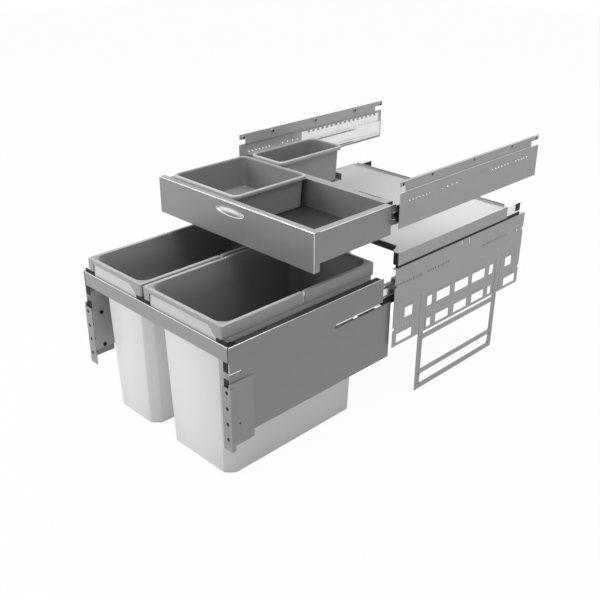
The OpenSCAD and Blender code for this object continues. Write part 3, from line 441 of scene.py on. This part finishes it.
def lattice(rows, columns, loop_rows=False):
    """Quads of a grid whose columns close on themselves, and its rows too if asked."""
    row = np.arange(rows if loop_rows else rows - 1)[:, None]
    column = np.arange(columns)[None, :]
    after = (row + 1) % rows
    beside = (column + 1) % columns
    turns = ((row, column), (row, beside), (after, beside), (after, column))
    corners = [np.broadcast_to(r * columns + c, (row.size, columns)) for r, c in turns]
    return np.stack(corners, -1).reshape(-1, 4).tolist()


def capped(rows, columns):
    """Quads of a grid whose columns close on themselves, and one flat face at each end."""
    last = (rows - 1) * columns
    return lattice(rows, columns) + [list(range(columns)), list(range(last, last + columns))]


def repeated(faces, count, size):
    """The same faces for each of several runs of points of one size."""
    return [[first + v for v in face] for first in range(0, count * size, size) for face in faces]


def soften(profile, radius, steps=4):
    """Rounds a profile's inner corners: each corner is a quadratic curve between two points that lie
    radius, or half of the shorter leg, away from it."""
    profile = np.asarray(profile, float)
    before, corner, after = profile[:-2], profile[1:-1], profile[2:]
    back = before - corner
    ahead = after - corner
    back_length = np.linalg.norm(back[:, :2], axis=1)[:, None]
    ahead_length = np.linalg.norm(ahead[:, :2], axis=1)[:, None]
    reach = np.minimum(radius, 0.5 * np.minimum(back_length, ahead_length))
    start = corner + back / back_length * reach
    end = corner + ahead / ahead_length * reach
    t = np.linspace(0, 1, steps)[None, :, None]
    curve = (1 - t) ** 2 * start[:, None] + 2 * t * (1 - t) * corner[:, None] + t**2 * end[:, None]
    return np.vstack([profile[:1], curve.reshape(-1, profile.shape[1]), profile[-1:]])


def around(span_x, span_y, profile, steps):
    """A profile carried round a rectangle. Each profile point is (inset, height, corner size) and may
    have a flatness: its ring is the rectangle drawn in by the inset, and its corners follow the cosine
    and the sine of the turn, each raised to the flatness, times the corner size."""
    profile = np.asarray(profile, float)
    if profile.shape[1] == 3:
        profile = np.column_stack([profile, np.ones(len(profile))])
    inset, height, radius, flatness = profile.T[:, :, None]
    half_x = (span_x[1] - span_x[0]) / 2 - inset
    half_y = (span_y[1] - span_y[0]) / 2 - inset
    angle = (np.arange(4)[:, None] * math.pi / 2 + np.linspace(0, math.pi / 2, steps)).ravel()[None, :]
    sign_x = np.repeat([1, -1, -1, 1], steps)[None, :]
    sign_y = np.repeat([1, 1, -1, -1], steps)[None, :]
    x = sum(span_x) / 2 + sign_x * (half_x - radius + radius * np.abs(np.cos(angle)) ** flatness)
    y = sum(span_y) / 2 + sign_y * (half_y - radius + radius * np.abs(np.sin(angle)) ** flatness)
    z = np.broadcast_to(height, x.shape)
    return np.stack([x, y, z], -1).reshape(-1, 3)


def vessel(name, node, profile, body, material):
    """A closed vessel that stands for a node: a profile carried round the node's rectangle, with a flat
    floor at each end of it."""
    steps = bpy.context.scene.waste_unit.shape.corner_steps
    points = around(span(node, 0), span(node, 1), profile, steps)
    return make_piece(name, points, capped(len(profile), 4 * steps), body, material, [node])


def rods(segments, radius, sides=8):
    """Straight round rods: each is a circle moved from one end of its segment to the other, its plane
    square to the segment, with a ring of half the radius at each end. The full rings lie 0.6 of the
    radius further in, or a quarter of the length if that is less."""
    segments = np.asarray(segments, float)
    start, end = segments[:, 0], segments[:, 1]
    length = np.linalg.norm(end - start, axis=1)[:, None]
    forward = (end - start) / length
    helper = np.where(np.abs(forward[:, 2:]) > 0.9, [[1.0, 0, 0]], [[0, 0, 1.0]])
    across = np.cross(forward, helper)
    across /= np.linalg.norm(across, axis=1)[:, None]
    upward = np.cross(across, forward)
    angle = np.arange(sides) * 2 * math.pi / sides
    share = np.array([0.5, 1.0, 1.0, 0.5])
    rows = len(share)
    inset = np.minimum(0.6 * radius, 0.25 * length)
    along = np.stack([0 * length, inset, length - inset, length], 1)
    centre = start[:, None] + forward[:, None] * along
    spoke = across[:, None] * np.cos(angle)[None, :, None] + upward[:, None] * np.sin(angle)[None, :, None]
    points = centre[:, :, None] + radius * share[None, :, None, None] * spoke[:, None]
    return points.reshape(-1, 3), repeated(capped(rows, sides), len(segments), rows * sides)


def tubes(centres, outer, inner, low, high, sides=16):
    """Short tubes along x: a rectangle between two radii and two depths, turned round each centre.
    Each centre is (side, y, z), and the depths are measured along x on that side."""
    side, y, z = np.asarray(centres, float).T[:, :, None, None]
    radius = np.array([inner, outer, outer, inner])[None, :, None]
    depth = np.array([low, low, high, high])[None, :, None]
    angle = (np.arange(sides) * 2 * math.pi / sides)[None, None, :]
    x = side * depth + 0 * angle
    points = np.stack([x, y + radius * np.cos(angle), z + radius * np.sin(angle)], -1)
    rows = radius.size
    return points.reshape(-1, 3), repeated(lattice(rows, sides, loop_rows=True), len(centres), rows * sides)


def prism(outline, axis, low, high):
    """A flat outline moved between two places along an axis."""
    outline = np.asarray(outline, float)
    ends = [np.insert(outline, axis, place, axis=1) for place in (low, high)]
    return np.vstack(ends), capped(2, len(outline))


def oval_dome(low, high, sides=96, pointed=1.15):
    """A low dome in a raised oval rim that fills a box and faces the front. Each ring is an ellipse of a
    share of the box's size, with the cosine of the turn raised to a power that draws its ends to soft
    points, and stands out from the box's back by a share of its depth."""
    centre = (low + high) / 2
    half_x, depth, half_z = (high.x - low.x) / 2, high.y - low.y, (high.z - low.z) / 2
    share = np.array([1.0, 1.0, 0.985, 0.93, 0.90, 0.86, 0.6, 0.3, 0.02])[:, None]
    out = np.array([0.0, 0.75, 1.0, 0.95, 0.45, 0.4, 0.7, 0.9, 1.0])[:, None]
    angle = np.linspace(0, 2 * math.pi, sides, endpoint=False)[None, :]
    x = centre.x + half_x * share * np.abs(np.cos(angle)) ** pointed * np.sign(np.cos(angle))
    z = centre.z + half_z * share * np.sin(angle)
    y = high.y - depth * out + 0 * angle
    return np.stack([x, y, z], -1).reshape(-1, 3), capped(len(share), sides)


def cut_out(piece, prisms):
    """Cuts prisms from a piece and keeps the result in its mesh."""
    points = np.vstack([p for p, _ in prisms])
    faces = []
    first = 0
    for corner, face in prisms:
        faces += [[first + v for v in ring] for ring in face]
        first += len(corner)
    mesh = outward_mesh("cutter", points, faces)
    cutter = bpy.data.objects.new("cutter", mesh)
    bpy.context.scene.collection.objects.link(cutter)
    step = piece.modifiers.new("cut", "BOOLEAN")
    step.operation = "DIFFERENCE"
    step.solver = "EXACT"
    step.use_self = True
    step.object = cutter
    bpy.context.view_layer.update()
    result = bpy.data.meshes.new_from_object(piece.evaluated_get(bpy.context.evaluated_depsgraph_get()))
    piece.modifiers.clear()
    old = piece.data
    piece.data = result
    bpy.data.meshes.remove(old)
    bpy.data.objects.remove(cutter)
    bpy.data.meshes.remove(mesh)
    smooth(result)


def points_of(mesh):
    """The points of a mesh, one in each row."""
    points = np.empty(3 * len(mesh.vertices))
    mesh.vertices.foreach_get("co", points)
    return points.reshape(-1, 3)


def mark(piece, chosen):
    """Marks the chosen points of a piece for the second colour of its material."""
    marks = piece.data.attributes.new("inside", "FLOAT", "POINT")
    marks.data.foreach_set("value", chosen.astype(float))


def mark_inside(piece, span_x, span_y, inset):
    """Marks the points of a piece that lie further in than the inset from a rectangle's edges."""
    x, y, _ = points_of(piece.data).T
    depth = np.minimum(
        (span_x[1] - span_x[0]) / 2 - np.abs(x - sum(span_x) / 2),
        (span_y[1] - span_y[0]) / 2 - np.abs(y - sum(span_y) / 2),
    )
    mark(piece, depth > inset)


def mark_above(piece, height):
    """Marks the points of a piece that lie above a height."""
    mark(piece, points_of(piece.data)[:, 2] > height)


def mark_hollow_for_painted_shade(piece, level=0.7):
    """Marks the points of a vessel whose surface looks at its hollow, for painted shade there: those of the
    walls whose normal points back at the middle, and those of the floor whose normal points up more than the
    level."""
    points = points_of(piece.data)
    normals = np.empty(points.size)
    piece.data.vertex_normals.foreach_get("vector", normals)
    normals = normals.reshape(-1, 3)
    out = points - (points.min(0) + points.max(0)) / 2
    walls = (out[:, :2] * normals[:, :2]).sum(1) < 0
    floor = (normals[:, 2] > level) & (out[:, 2] < 0)
    mark(piece, walls | floor)


def span(node, axis):
    """Where a node starts and ends along an axis."""
    low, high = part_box(node)
    return low[axis], high[axis]


def dress(nodes, material):
    """Gives CAD nodes their finish."""
    for node in nodes:
        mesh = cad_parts[node].data
        mesh.materials.clear()
        mesh.materials.append(material)


# Operators, one for each group of like pieces


class WASTE_OT_sheet_steel(bpy.types.Operator):
    """Finish the coated sheet steel: rails, plates, legs, lid, drawer and bin frame"""

    bl_idname = "waste.sheet_steel"
    bl_label = "Sheet steel"

    def execute(self, context):
        steel = context.scene.waste_unit.steel
        rail_y = sheet_steel("rail_coat_lengthwise", steel.rail_coat, PALE_COAT, steel.rough, "y")
        rail_z = sheet_steel("leg_coat_upright", steel.rail_coat, PALE_COAT, steel.rough, "z")
        coat_y = sheet_steel("satin_coat_lengthwise", steel.coat, SATIN_COAT, steel.rough, "y")
        panel = 0.9 * np.array(steel.coat)
        # Painted light: a lighter coat on the side panels' inner faces, where the bins shade them
        inner = (0.50, 0.49, 0.50)
        panel_y_with_painted_light = sheet_steel("panel_coat_with_painted_light_inner_face", panel, SATIN_COAT, steel.rough, "y", inner=inner)
        coat_x = sheet_steel("satin_coat_crosswise", steel.coat, SATIN_COAT, steel.rough, "x")
        light_x = sheet_steel("light_coat_crosswise", steel.light_coat, PALE_COAT, steel.rough, "x")
        light_z = sheet_steel("light_coat_upright", steel.light_coat, PALE_COAT, steel.rough, "z")
        lid = sheet_steel("pale_lid_coat", steel.lid_coat, 0.25, 0.35, "x", streaks=0.03, patches=0.03)
        lip = sheet_steel("dark_lip_coat", (0.05, 0.05, 0.052), metallic=0.4, rough=0.45, along="x")
        floor = sheet_steel("dark_floor_coat", (0.045, 0.043, 0.045), metallic=0.5, rough=0.4, along="x")
        dress(["top_rail_left", "top_rail_right", "side_plate_left", "side_plate_right"], rail_y)
        dress(["runner_carriers", "leg_guides", "lid_channels"], rail_y)
        dress(["drawer_side_left", "drawer_side_right", "rear_tray", "runner_arms"], coat_y)
        dress(["frame_side_left", "frame_side_right"], panel_y_with_painted_light)
        dress(["drawer_front", "drawer_back", "frame_back_bar"], coat_x)
        dress(["leg_frame_left", "leg_frame_right"], rail_z)
        dress(["frame_front_bar"], light_x)
        dress(["door_bracket_left", "door_bracket_right"], light_z)
        dress(["lid_sheet"], lid)
        dress(["lid_lip"], lip)
        dress(["drawer_floor"], floor)
        return {"FINISHED"}


class WASTE_OT_runners(bpy.types.Operator):
    """Finish the zinc-plated runners, hangers, lid rails and screws"""

    bl_idname = "waste.runners"
    bl_label = "Runners"

    def execute(self, context):
        steel = context.scene.waste_unit.steel
        zinc = sheet_steel("bright_zinc", steel.zinc, PLATING, 0.26, "y", streaks=0.12, patches=0.10)
        dull = 0.7 * np.array(steel.zinc)
        screw = sheet_steel("plated_screws", dull, PLATING, 0.3, "x", streaks=0.05, patches=0.1)
        kinds = ("drawer_runner_fixed", "drawer_runner_mid", "drawer_runner_moving", "bin_runner_fixed",
                 "bin_runner_mid", "bin_runner_moving", "lid_rail")
        dress([f"{kind}_{side}" for kind in kinds for side in SIDES], zinc)
        dress(["runner_hangers", "drawer_ball_cages", "bin_ball_cages"], zinc)
        dress(["carrier_screws"], screw)
        return {"FINISHED"}


class WASTE_OT_fittings(bpy.types.Operator):
    """Finish the black plastic fittings and the white bag clips; the black door sleeves paint the shade
    inside the door brackets' holes
    """

    bl_idname = "waste.fittings"
    bl_label = "Plastic fittings"

    def execute(self, context):
        plastic = context.scene.waste_unit.plastic
        black = moulded("black_moulding", plastic.black, rough=0.45, shine=0.2)
        clip = moulded("white_moulding", plastic.clip, rough=0.4)
        # Painted shade: the door sleeves are black so the door brackets' holes look dark
        dress(["runner_latches", "lid_rail_seats", "lid_rail_caps", "drawer_runner_caps", "frame_spacers",
               "door_sleeves", "bracket_screws"], black)
        dress(["bag_clips_left", "bag_clips_right"], clip)
        return {"FINISHED"}


class WASTE_OT_bins(bpy.types.Operator):
    """Make the two bins with bevelled corners, a stepped flange and a rolled lip"""

    bl_idname = "waste.bins"
    bl_label = "Bins"

    def execute(self, context):
        plastic = context.scene.waste_unit.plastic
        # Painted shade: the flange and lip above the flange line are greyer, where the collar shades them
        shade = 0.76 * np.array(plastic.bin)
        material = moulded("bin_moulding_with_painted_shade", plastic.bin, 0.42, patches=0.03, strength=0.12, inside=shade)
        flat = context.scene.waste_unit.shape.bevel
        for side in SIDES:
            node = f"bin_{side}"
            low, high = span(node, 2)
            flange = low + 0.271
            body = 0.0147
            wall = 0.0025
            under = 0.001
            profile = [
                (body + 0.0300, low, 0.012, flat),
                (body + 0.0060, low, 0.017, flat),
                (body, flange, 0.017, flat),
                (0.0, flange, 0.004, 1),
                (0.0, high, 0.004, 1),
                (0.002, high, 0.003, 1),
                (0.002, flange + wall, 0.003, 1),
                (body + wall, flange + wall, 0.0155, flat),
                (body + wall + 0.0058, low + wall, 0.0155, flat),
                (body + wall + 0.0300, low + wall, 0.010, flat),
            ]
            profile = soften(profile, 0.003)
            piece = vessel(f"{side}_bin_shell", node, profile, f"bin_{side}", material)
            # Marks the points above the flange for the painted collar shade
            mark_above(piece, flange - under)
        return {"FINISHED"}


class WASTE_OT_liners(bpy.types.Operator):
    """Make the dark liners that stand in the bins"""

    bl_idname = "waste.liners"
    bl_label = "Liners"

    def execute(self, context):
        plastic = context.scene.waste_unit.plastic
        flat = context.scene.waste_unit.shape.bevel
        wall = 0.0015
        up_to_funnel = 0.0003
        material = moulded("liner_moulding", plastic.liner, 0.5, patches=0.12, strength=0.15)
        for side in SIDES:
            node = f"liner_{side}"
            low, high = span(node, 2)
            high += up_to_funnel
            profile = [
                (0.040, low, 0.010, flat),
                (0.014, low, 0.0154, flat),
                (0.008, high - wall, 0.0154, flat),
                (0.0, high - wall, 0.020, flat),
                (0.0, high, 0.020, flat),
                (0.0077 + wall, high, 0.0145, flat),
                (0.008 + wall, high, 0.0145, flat),
                (0.014 + wall, low + wall, 0.0145, flat),
                (0.040, low + wall, 0.009, flat),
            ]
            profile = soften(profile, 0.003)
            vessel(f"{side}_liner_shell", node, profile, f"bin_{side}", material)
        return {"FINISHED"}


class WASTE_OT_collars(bpy.types.Operator):
    """Make the collars: a skirt, a narrow top face and a funnel down to the liner"""

    bl_idname = "waste.collars"
    bl_label = "Collars"

    def execute(self, context):
        plastic = context.scene.waste_unit.plastic
        steps = context.scene.waste_unit.shape.corner_steps
        flat = context.scene.waste_unit.shape.bevel
        material = moulded("collar_moulding", plastic.collar, 0.42, strength=0.15, inside=plastic.liner)
        wall = 0.002
        skirt = 0.026
        rim = 0.008
        throat = 0.0213
        half = 0.003
        past = 0.001
        for side in SIDES:
            node = f"collar_{side}"
            x = span(node, 0)
            y = span(node, 1)
            low, high = span(node, 2)
            edge = high - skirt
            profile = soften(
                [
                    (wall, edge, 0.002, 1),
                    (0.0, edge, 0.004, 1),
                    (0.0, high, 0.004, 1),
                    (rim, high, 0.026, 1),
                    (throat, low, 0.0145, flat),
                    (throat - 0.0003, low, 0.0145, flat),
                    (throat - 0.0016, low, 0.0154, flat),
                    (rim - 0.0014, high - wall, 0.026, 1),
                    (wall, high - wall, 0.003, 1),
                    (wall, edge + 0.0002, 0.002, 1),
                ],
                0.0017,
            )
            points = around(x, y, profile, steps)
            faces = lattice(len(profile), 4 * steps, loop_rows=True)
            name, body = f"{side}_collar_shell", f"bin_{side}"
            piece = make_piece(name, points, faces, body, material, [node])
            arch = [(x[0] + 0.017, edge - past), (x[0] + 0.019, edge + 0.017),
                    (x[1] - 0.037, edge + 0.017), (x[1] - 0.017, edge - past)]
            middle = sum(y) / 2
            notch, sill = (
                [(middle - half, high - depth), (middle + half, high - depth),
                 (middle + half, high + past), (middle - half, high + past)]
                for depth in (0.022, 0.005)
            )
            cut_out(
                piece,
                [
                    prism(arch, 1, y[0] - past, y[0] + wall + 0.0001),
                    prism(notch, 0, x[0] - past, x[0] + 0.0023),
                    prism(notch, 0, x[1] - 0.0023, x[1] + past),
                    prism(sill, 0, x[0] + 0.0024, x[0] + 0.009),
                    prism(sill, 0, x[1] - 0.009, x[1] - 0.0024),
                ],
            )
            mark_inside(piece, x, y, rim - 0.0004)
        return {"FINISHED"}


class WASTE_OT_tubs(bpy.types.Operator):
    """Make the two tubs of the drawer with their rolled rims"""

    bl_idname = "waste.tubs"
    bl_label = "Tubs"

    def execute(self, context):
        plastic = context.scene.waste_unit.plastic
        # Painted shade: the walls and floor that face each tub's hollow are darker
        inside = plastic.tub_painted_hollow_shade
        material = moulded("tub_moulding_with_painted_shade", plastic.tub, 0.4, patches=0.06, strength=0.15, inside=inside)
        rim = 0.005
        wall = 0.002
        for node in ("front_tub", "back_tub"):
            low, high = span(node, 2)
            profile = [
                (rim + 0.030, low, 0.006),
                (rim + 0.003, low, 0.014),
                (rim, high - 0.0025, 0.014),
                (0.0015, high - 0.0025, 0.0125),
                (0.0015, high - 0.008, 0.0125),
                (0.0, high - 0.008, 0.014),
                (0.0, high, 0.014),
                (rim + wall, high, 0.012),
                (rim + wall + 0.003, low + wall, 0.012),
                (rim + wall + 0.028, low + wall, 0.006),
            ]
            profile = soften(profile, 0.0035, 5)
            mark_hollow_for_painted_shade(vessel(f"{node}_shell", node, profile, node, material))
        return {"FINISHED"}


class WASTE_OT_badge(bpy.types.Operator):
    """Make the blank oval badge: a low dome inside a raised rim"""

    bl_idname = "waste.badge"
    bl_label = "Badge"

    def execute(self, context):
        steel = context.scene.waste_unit.steel
        material = sheet_steel("badge_metal", steel.zinc, PLATING, 0.3, "x", streaks=0.03, patches=0.05)
        low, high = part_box("drawer_badge")
        crease = 50
        points, faces = oval_dome(low, high)
        make_piece("blank_badge", points, faces, "drawer", material, ["drawer_badge"], crease)
        return {"FINISHED"}


class WASTE_OT_hems(bpy.types.Operator):
    """Make thin rods in a bright metal that paint highlights along the edges of the rails, drawer, front bar,
    panels and lid, and along the slots
    """

    bl_idname = "waste.hems"
    bl_label = "Rolled edges"

    def execute(self, context):
        unit = context.scene.waste_unit
        radius = unit.shape.hem
        # Painted highlight: the rods are far brighter than the coat, in place of the light the edges catch
        material = sheet_steel("painted_highlight_edge", unit.steel.edge, 0.9, 0.3, "x", streaks=0.04, patches=0.04)
        for name, segments, body, thickness in (
            ("slot_painted_highlights", self.slots(), "bin_frame", 0.0013),
            ("rail_rolled_edges", self.rails(), "cabinet_sides", radius),
            ("drawer_rolled_edges", self.drawer(radius), "drawer", radius),
            ("frame_rolled_edges", self.bin_frame(radius), "bin_frame", radius),
            ("lid_rolled_edges", self.lid(), "lid", radius),
        ):
            points, faces = rods(segments, thickness)
            make_piece(name, points, faces, body, material)
        return {"FINISHED"}

    def slots(self):
        """The upper edge of the slot in each side panel."""
        x, z, ends = 0.2222, 0.2523, (-0.1915, -0.0660)
        return [[(sign * x, y, z) for y in ends] for sign in SIDES.values()]

    def drawer(self, radius):
        """The top and both ends of the drawer's front, and the tops of its sides."""
        front_low, front_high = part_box("drawer_front")
        top = front_high.z - radius / 2
        near = front_low.y + radius / 2
        drawer = [[(front_low.x, near, top), (front_high.x, near, top)]]
        for x in (front_low.x + radius / 2, front_high.x - radius / 2):
            drawer.append([(x, near, front_low.z), (x, near, front_high.z)])
        for side, sign in SIDES.items():
            low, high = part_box(f"drawer_side_{side}")
            edge = high.x if sign > 0 else low.x
            drawer.append([(edge, low.y, high.z - radius / 2), (edge, high.y, high.z - radius / 2)])
        return drawer

    def bin_frame(self, radius):
        """The top of the front bar, and the top and the front edge of the side panels with their tabs."""
        bar_low, bar_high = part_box("frame_front_bar")
        bar_top = bar_high.z - radius / 2
        near = bar_low.y + radius / 2
        end_slot = 0.0032
        edges = [[(bar_low.x + end_slot, near, bar_top), (bar_high.x - end_slot, near, bar_top)]]
        lip, bar_drop, tab_drop, tab_length, back_inset = 0.0026, 0.0298, 0.0515, 0.026, 0.025
        for side, sign in SIDES.items():
            low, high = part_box(f"frame_side_{side}")
            wall = (high.x if sign > 0 else low.x) - sign * lip
            edges.append([(wall, low.y, high.z), (wall, high.y - back_inset, high.z)])
            tab = high.z - tab_drop
            edges.append([(wall, low.y, high.z - bar_drop), (wall, low.y, tab)])
            wall += sign * radius
            edges.append([(wall, low.y, tab), (wall, low.y + tab_length, tab)])
        return edges

    def lid(self):
        """The top edges of the lid's side channels."""
        half = 0.0006
        low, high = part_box("lid_sheet")
        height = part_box("lid_channels")[1].z + 0.0006
        return [[(x, low.y, height), (x, high.y, height)] for x in (low.x + half, high.x - half)]

    def rails(self):
        """Two folds along the outside of each top rail."""
        folds = ((0.0006, 0.022), (0.0018, 0.0016))
        rails = []
        for side, sign in SIDES.items():
            low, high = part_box(f"top_rail_{side}")
            wall = high.x if sign > 0 else low.x
            for inset, drop in folds:
                x, z = wall - sign * inset, high.z - drop
                rails.append([(x, low.y, z), (x, high.y, z)])
        return rails


class WASTE_OT_small_fixings(bpy.types.Operator):
    """Make dark tubes in the screw holes and a dark strip beside the bins, which paint the shade in the holes
    and the gap, and the dark rivets of the legs
    """

    bl_idname = "waste.small_fixings"
    bl_label = "Sleeves, seals and rivets"

    def execute(self, context):
        # Painted shade: the dark tubes and the dark strip stand where the holes and the gap are only shaded
        dark = moulded("painted_hole_shade", context.scene.waste_unit.plastic.black, rough=0.4, shine=0.2)
        shade_strip = moulded("painted_gap_shade", (0.040, 0.038, 0.040), rough=0.6, shine=0.2)
        rivet = sheet_steel("dark_rivet", (0.03, 0.03, 0.032), metallic=0.6, rough=0.4, along="x")
        self.sleeves(dark)
        self.bracket_hole_shades(dark)
        for side, sign in SIDES.items():
            self.shade_strip(side, sign, shade_strip)
        for side, sign in SIDES.items():
            self.rivets(side, sign, rivet)
        return {"FINISHED"}

    def sleeves(self, material):
        """Dark tubes in the screw holes of the top strips, which paint the shade inside the holes."""
        outer, inner = 0.00275, 0.0010
        strip = (0.2242, 0.2287)
        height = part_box("top_rail_left")[1].z - 0.007
        spots = (-0.0205, 0.0685, 0.2090, 0.3495, 0.4475)
        centres = [(sign, y, height) for sign in SIDES.values() for y in spots]
        points, faces = tubes(centres, outer, inner, *strip)
        make_piece("strip_hole_painted_shades", points, faces, "cabinet_sides", material)

    def bracket_hole_shades(self, material):
        """Dark tubes in the holes in the front of the door brackets, which paint the shade inside the holes:
        tubes along x whose x and y change places.
        """
        outer, inner = 0.0037, 0.0007
        behind, proud = 0.0006, 0.0002
        hole_x, first, pitch, count = 0.2163, 0.024, 0.032, 4
        low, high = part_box("door_bracket_left")
        heights = [low.z + first + pitch * step for step in range(count)]
        centres = [(-1, sign * hole_x, z) for sign in SIDES.values() for z in heights]
        points, faces = tubes(centres, outer, inner, -low.y - behind, -low.y + proud)
        make_piece("door_hole_painted_shades", points[:, [1, 0, 2]], faces, "bin_frame", material)

    def shade_strip(self, side, sign, material):
        """A dark strip in the gap between a side panel and the bins, which paints the shade in the gap."""
        depth = (0.2062, 0.2204)
        low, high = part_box(f"frame_side_{side}")
        front, back = low.y + 0.021, high.y - 0.030
        foot, top = high.z - 0.0075, high.z - 0.0006
        outline = [(front, foot), (back, foot), (back, top), (front, top)]
        points, faces = prism(outline, 0, *sorted(sign * x for x in depth))
        make_piece(f"{side}_gap_painted_shade", points, faces, "bin_frame", material)

    def rivets(self, side, sign, material):
        """Four rivets in the lower corners of a leg."""
        radius, sides = 0.0022, 16
        sunk, proud, inset = 0.0012, 0.0004, 0.013
        low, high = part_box(f"leg_frame_{side}")
        outer = abs(high.x if sign > 0 else low.x)
        heads = [
            [(sign * (outer - sunk), y, low.z + z), (sign * (outer + proud), y, low.z + z)]
            for y in (low.y + inset, high.y - inset) for z in (0.013, 0.037)
        ]
        points, faces = rods(heads, radius, sides)
        make_piece(f"{side}_leg_rivets", points, faces, f"leg_{side}", material)


class WASTE_OT_stage(bpy.types.Operator):
    """Set up the floor, the white surroundings, the lamps and the camera"""

    bl_idname = "waste.stage"
    bl_label = "Stage"

    def seen(self, tree):
        """One for the rays that show the surroundings, straight on, mirrored or through glass."""
        path = add(tree, "ShaderNodeLightPath").outputs
        straight = math_node(tree, "MAXIMUM", path["Is Camera Ray"], path["Is Glossy Ray"])
        return math_node(tree, "MAXIMUM", straight, path["Is Transmission Ray"])

    def floor(self, context):
        """A pale floor that looks white and keeps the unit's shadow."""
        size, level = 6.0, -0.0005
        tone, rough, white = 0.6, 0.9, 0.97
        mesh = bpy.data.meshes.new("floor")
        corners = [(x, y, level) for x, y in ((-size, -size), (size, -size), (size, size), (-size, size))]
        mesh.from_pydata(corners, [], [(0, 1, 2, 3)])
        floor = bpy.data.objects.new("floor", mesh)
        context.scene.collection.objects.link(floor)
        material, tree, shader = start_material("pale_floor")
        shader.inputs["Base Color"].default_value = (tone, tone, tone, 1)
        shader.inputs["Roughness"].default_value = rough
        glow = add(tree, "ShaderNodeEmission")
        glow.inputs["Strength"].default_value = 1.0
        share = math_node(tree, "MULTIPLY", self.seen(tree), white)
        blend = add(tree, "ShaderNodeMixShader")
        out = tree.nodes["Material Output"]
        tree.links.new(share, blend.inputs[0])
        tree.links.new(shader.outputs[0], blend.inputs[1])
        tree.links.new(glow.outputs[0], blend.inputs[2])
        tree.links.new(blend.outputs[0], out.inputs["Surface"])
        mesh.materials.append(material)

    def surroundings(self, context):
        """A world that looks white and lights the unit with the sky's strength."""
        studio = context.scene.waste_unit.studio
        world = bpy.data.worlds.new("studio")
        context.scene.world = world
        world.use_nodes = True
        tree = world.node_tree
        light = tree.nodes["Background"]
        light.inputs["Color"].default_value = (1, 1, 1, 1)
        strength = math_node(tree, "MULTIPLY_ADD", self.seen(tree), 1.0 - studio.sky)
        strength.node.inputs[2].default_value = studio.sky
        tree.links.new(strength, light.inputs["Strength"])

    def lamp(self, context, name, place, target, size, power):
        """An area lamp that looks at a target."""
        data = bpy.data.lights.new(name, "AREA")
        data.shape = "RECTANGLE"
        data.size = size[0]
        data.size_y = size[1]
        data.energy = power
        lamp = bpy.data.objects.new(name, data)
        lamp.location = place
        lamp.rotation_euler = (Vector(target) - Vector(place)).to_track_quat("-Z", "Y").to_euler()
        context.scene.collection.objects.link(lamp)

    def camera(self, context):
        """The camera, from its place and its three turns."""
        studio = context.scene.waste_unit.studio
        turn, dip = studio.azimuth, studio.pitch
        forward = Vector((-math.sin(turn) * math.cos(dip), math.cos(turn) * math.cos(dip), -math.sin(dip)))
        level = Vector((math.cos(turn), math.sin(turn), 0))
        upright = level.cross(forward)
        right = level * math.cos(studio.roll) + upright * math.sin(studio.roll)
        up = upright * math.cos(studio.roll) - level * math.sin(studio.roll)
        stand = Matrix((right, up, -forward)).transposed().to_4x4()
        data = bpy.data.cameras.new("camera")
        data.lens = studio.lens
        data.sensor_width = 36
        data.clip_start = 0.05
        camera = bpy.data.objects.new("camera", data)
        camera.matrix_world = Matrix.Translation(studio.place) @ stand
        context.scene.collection.objects.link(camera)
        context.scene.camera = camera

    def execute(self, context):
        studio = context.scene.waste_unit.studio
        self.floor(context)
        self.surroundings(context)
        self.lamp(context, "overhead", (0.1, -0.1, 2.2), (0, 0, 0.2), (1.8, 1.8), studio.lamp)
        self.lamp(context, "front_left", (-1.3, -2.0, 1.3), (0, 0, 0.25), (1.2, 1.2), studio.fill)
        self.lamp(context, "back_left", (-1.2, 3.1, 1.6), (0.2, 0.2, 0.35), (1.2, 1.0), studio.back)
        self.camera(context)
        context.scene.view_settings.view_transform = "Standard"
        return {"FINISHED"}


class WASTE_PT_panel(bpy.types.Panel):
    """Lists the steps that dress the unit"""

    bl_idname = "WASTE_PT_panel"
    bl_label = "Waste Unit"
    bl_space_type = "VIEW_3D"
    bl_region_type = "UI"
    bl_category = "Waste Unit"

    def draw(self, context):
        for step in STEPS:
            self.layout.operator(step.bl_idname)


STEPS = (
    WASTE_OT_stage,
    WASTE_OT_sheet_steel,
    WASTE_OT_runners,
    WASTE_OT_fittings,
    WASTE_OT_bins,
    WASTE_OT_liners,
    WASTE_OT_collars,
    WASTE_OT_tubs,
    WASTE_OT_badge,
    WASTE_OT_hems,
    WASTE_OT_small_fixings,
)
SETTINGS = (SteelSettings, PlasticSettings, ShapeSettings, StudioSettings, WasteUnitSettings)


def register():
    for item in (*SETTINGS, *STEPS, WASTE_PT_panel):
        bpy.utils.register_class(item)
    bpy.types.Scene.waste_unit = PointerProperty(type=WasteUnitSettings)


def unregister():
    del bpy.types.Scene.waste_unit
    for item in reversed((*SETTINGS, *STEPS, WASTE_PT_panel)):
        bpy.utils.unregister_class(item)


def main():
    """Runs every step in order."""
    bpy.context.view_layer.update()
    register()
    for step in STEPS:
        group, name = step.bl_idname.split(".")
        getattr(getattr(bpy.ops, group), name)()


if __name__ == "__main__":
    main()
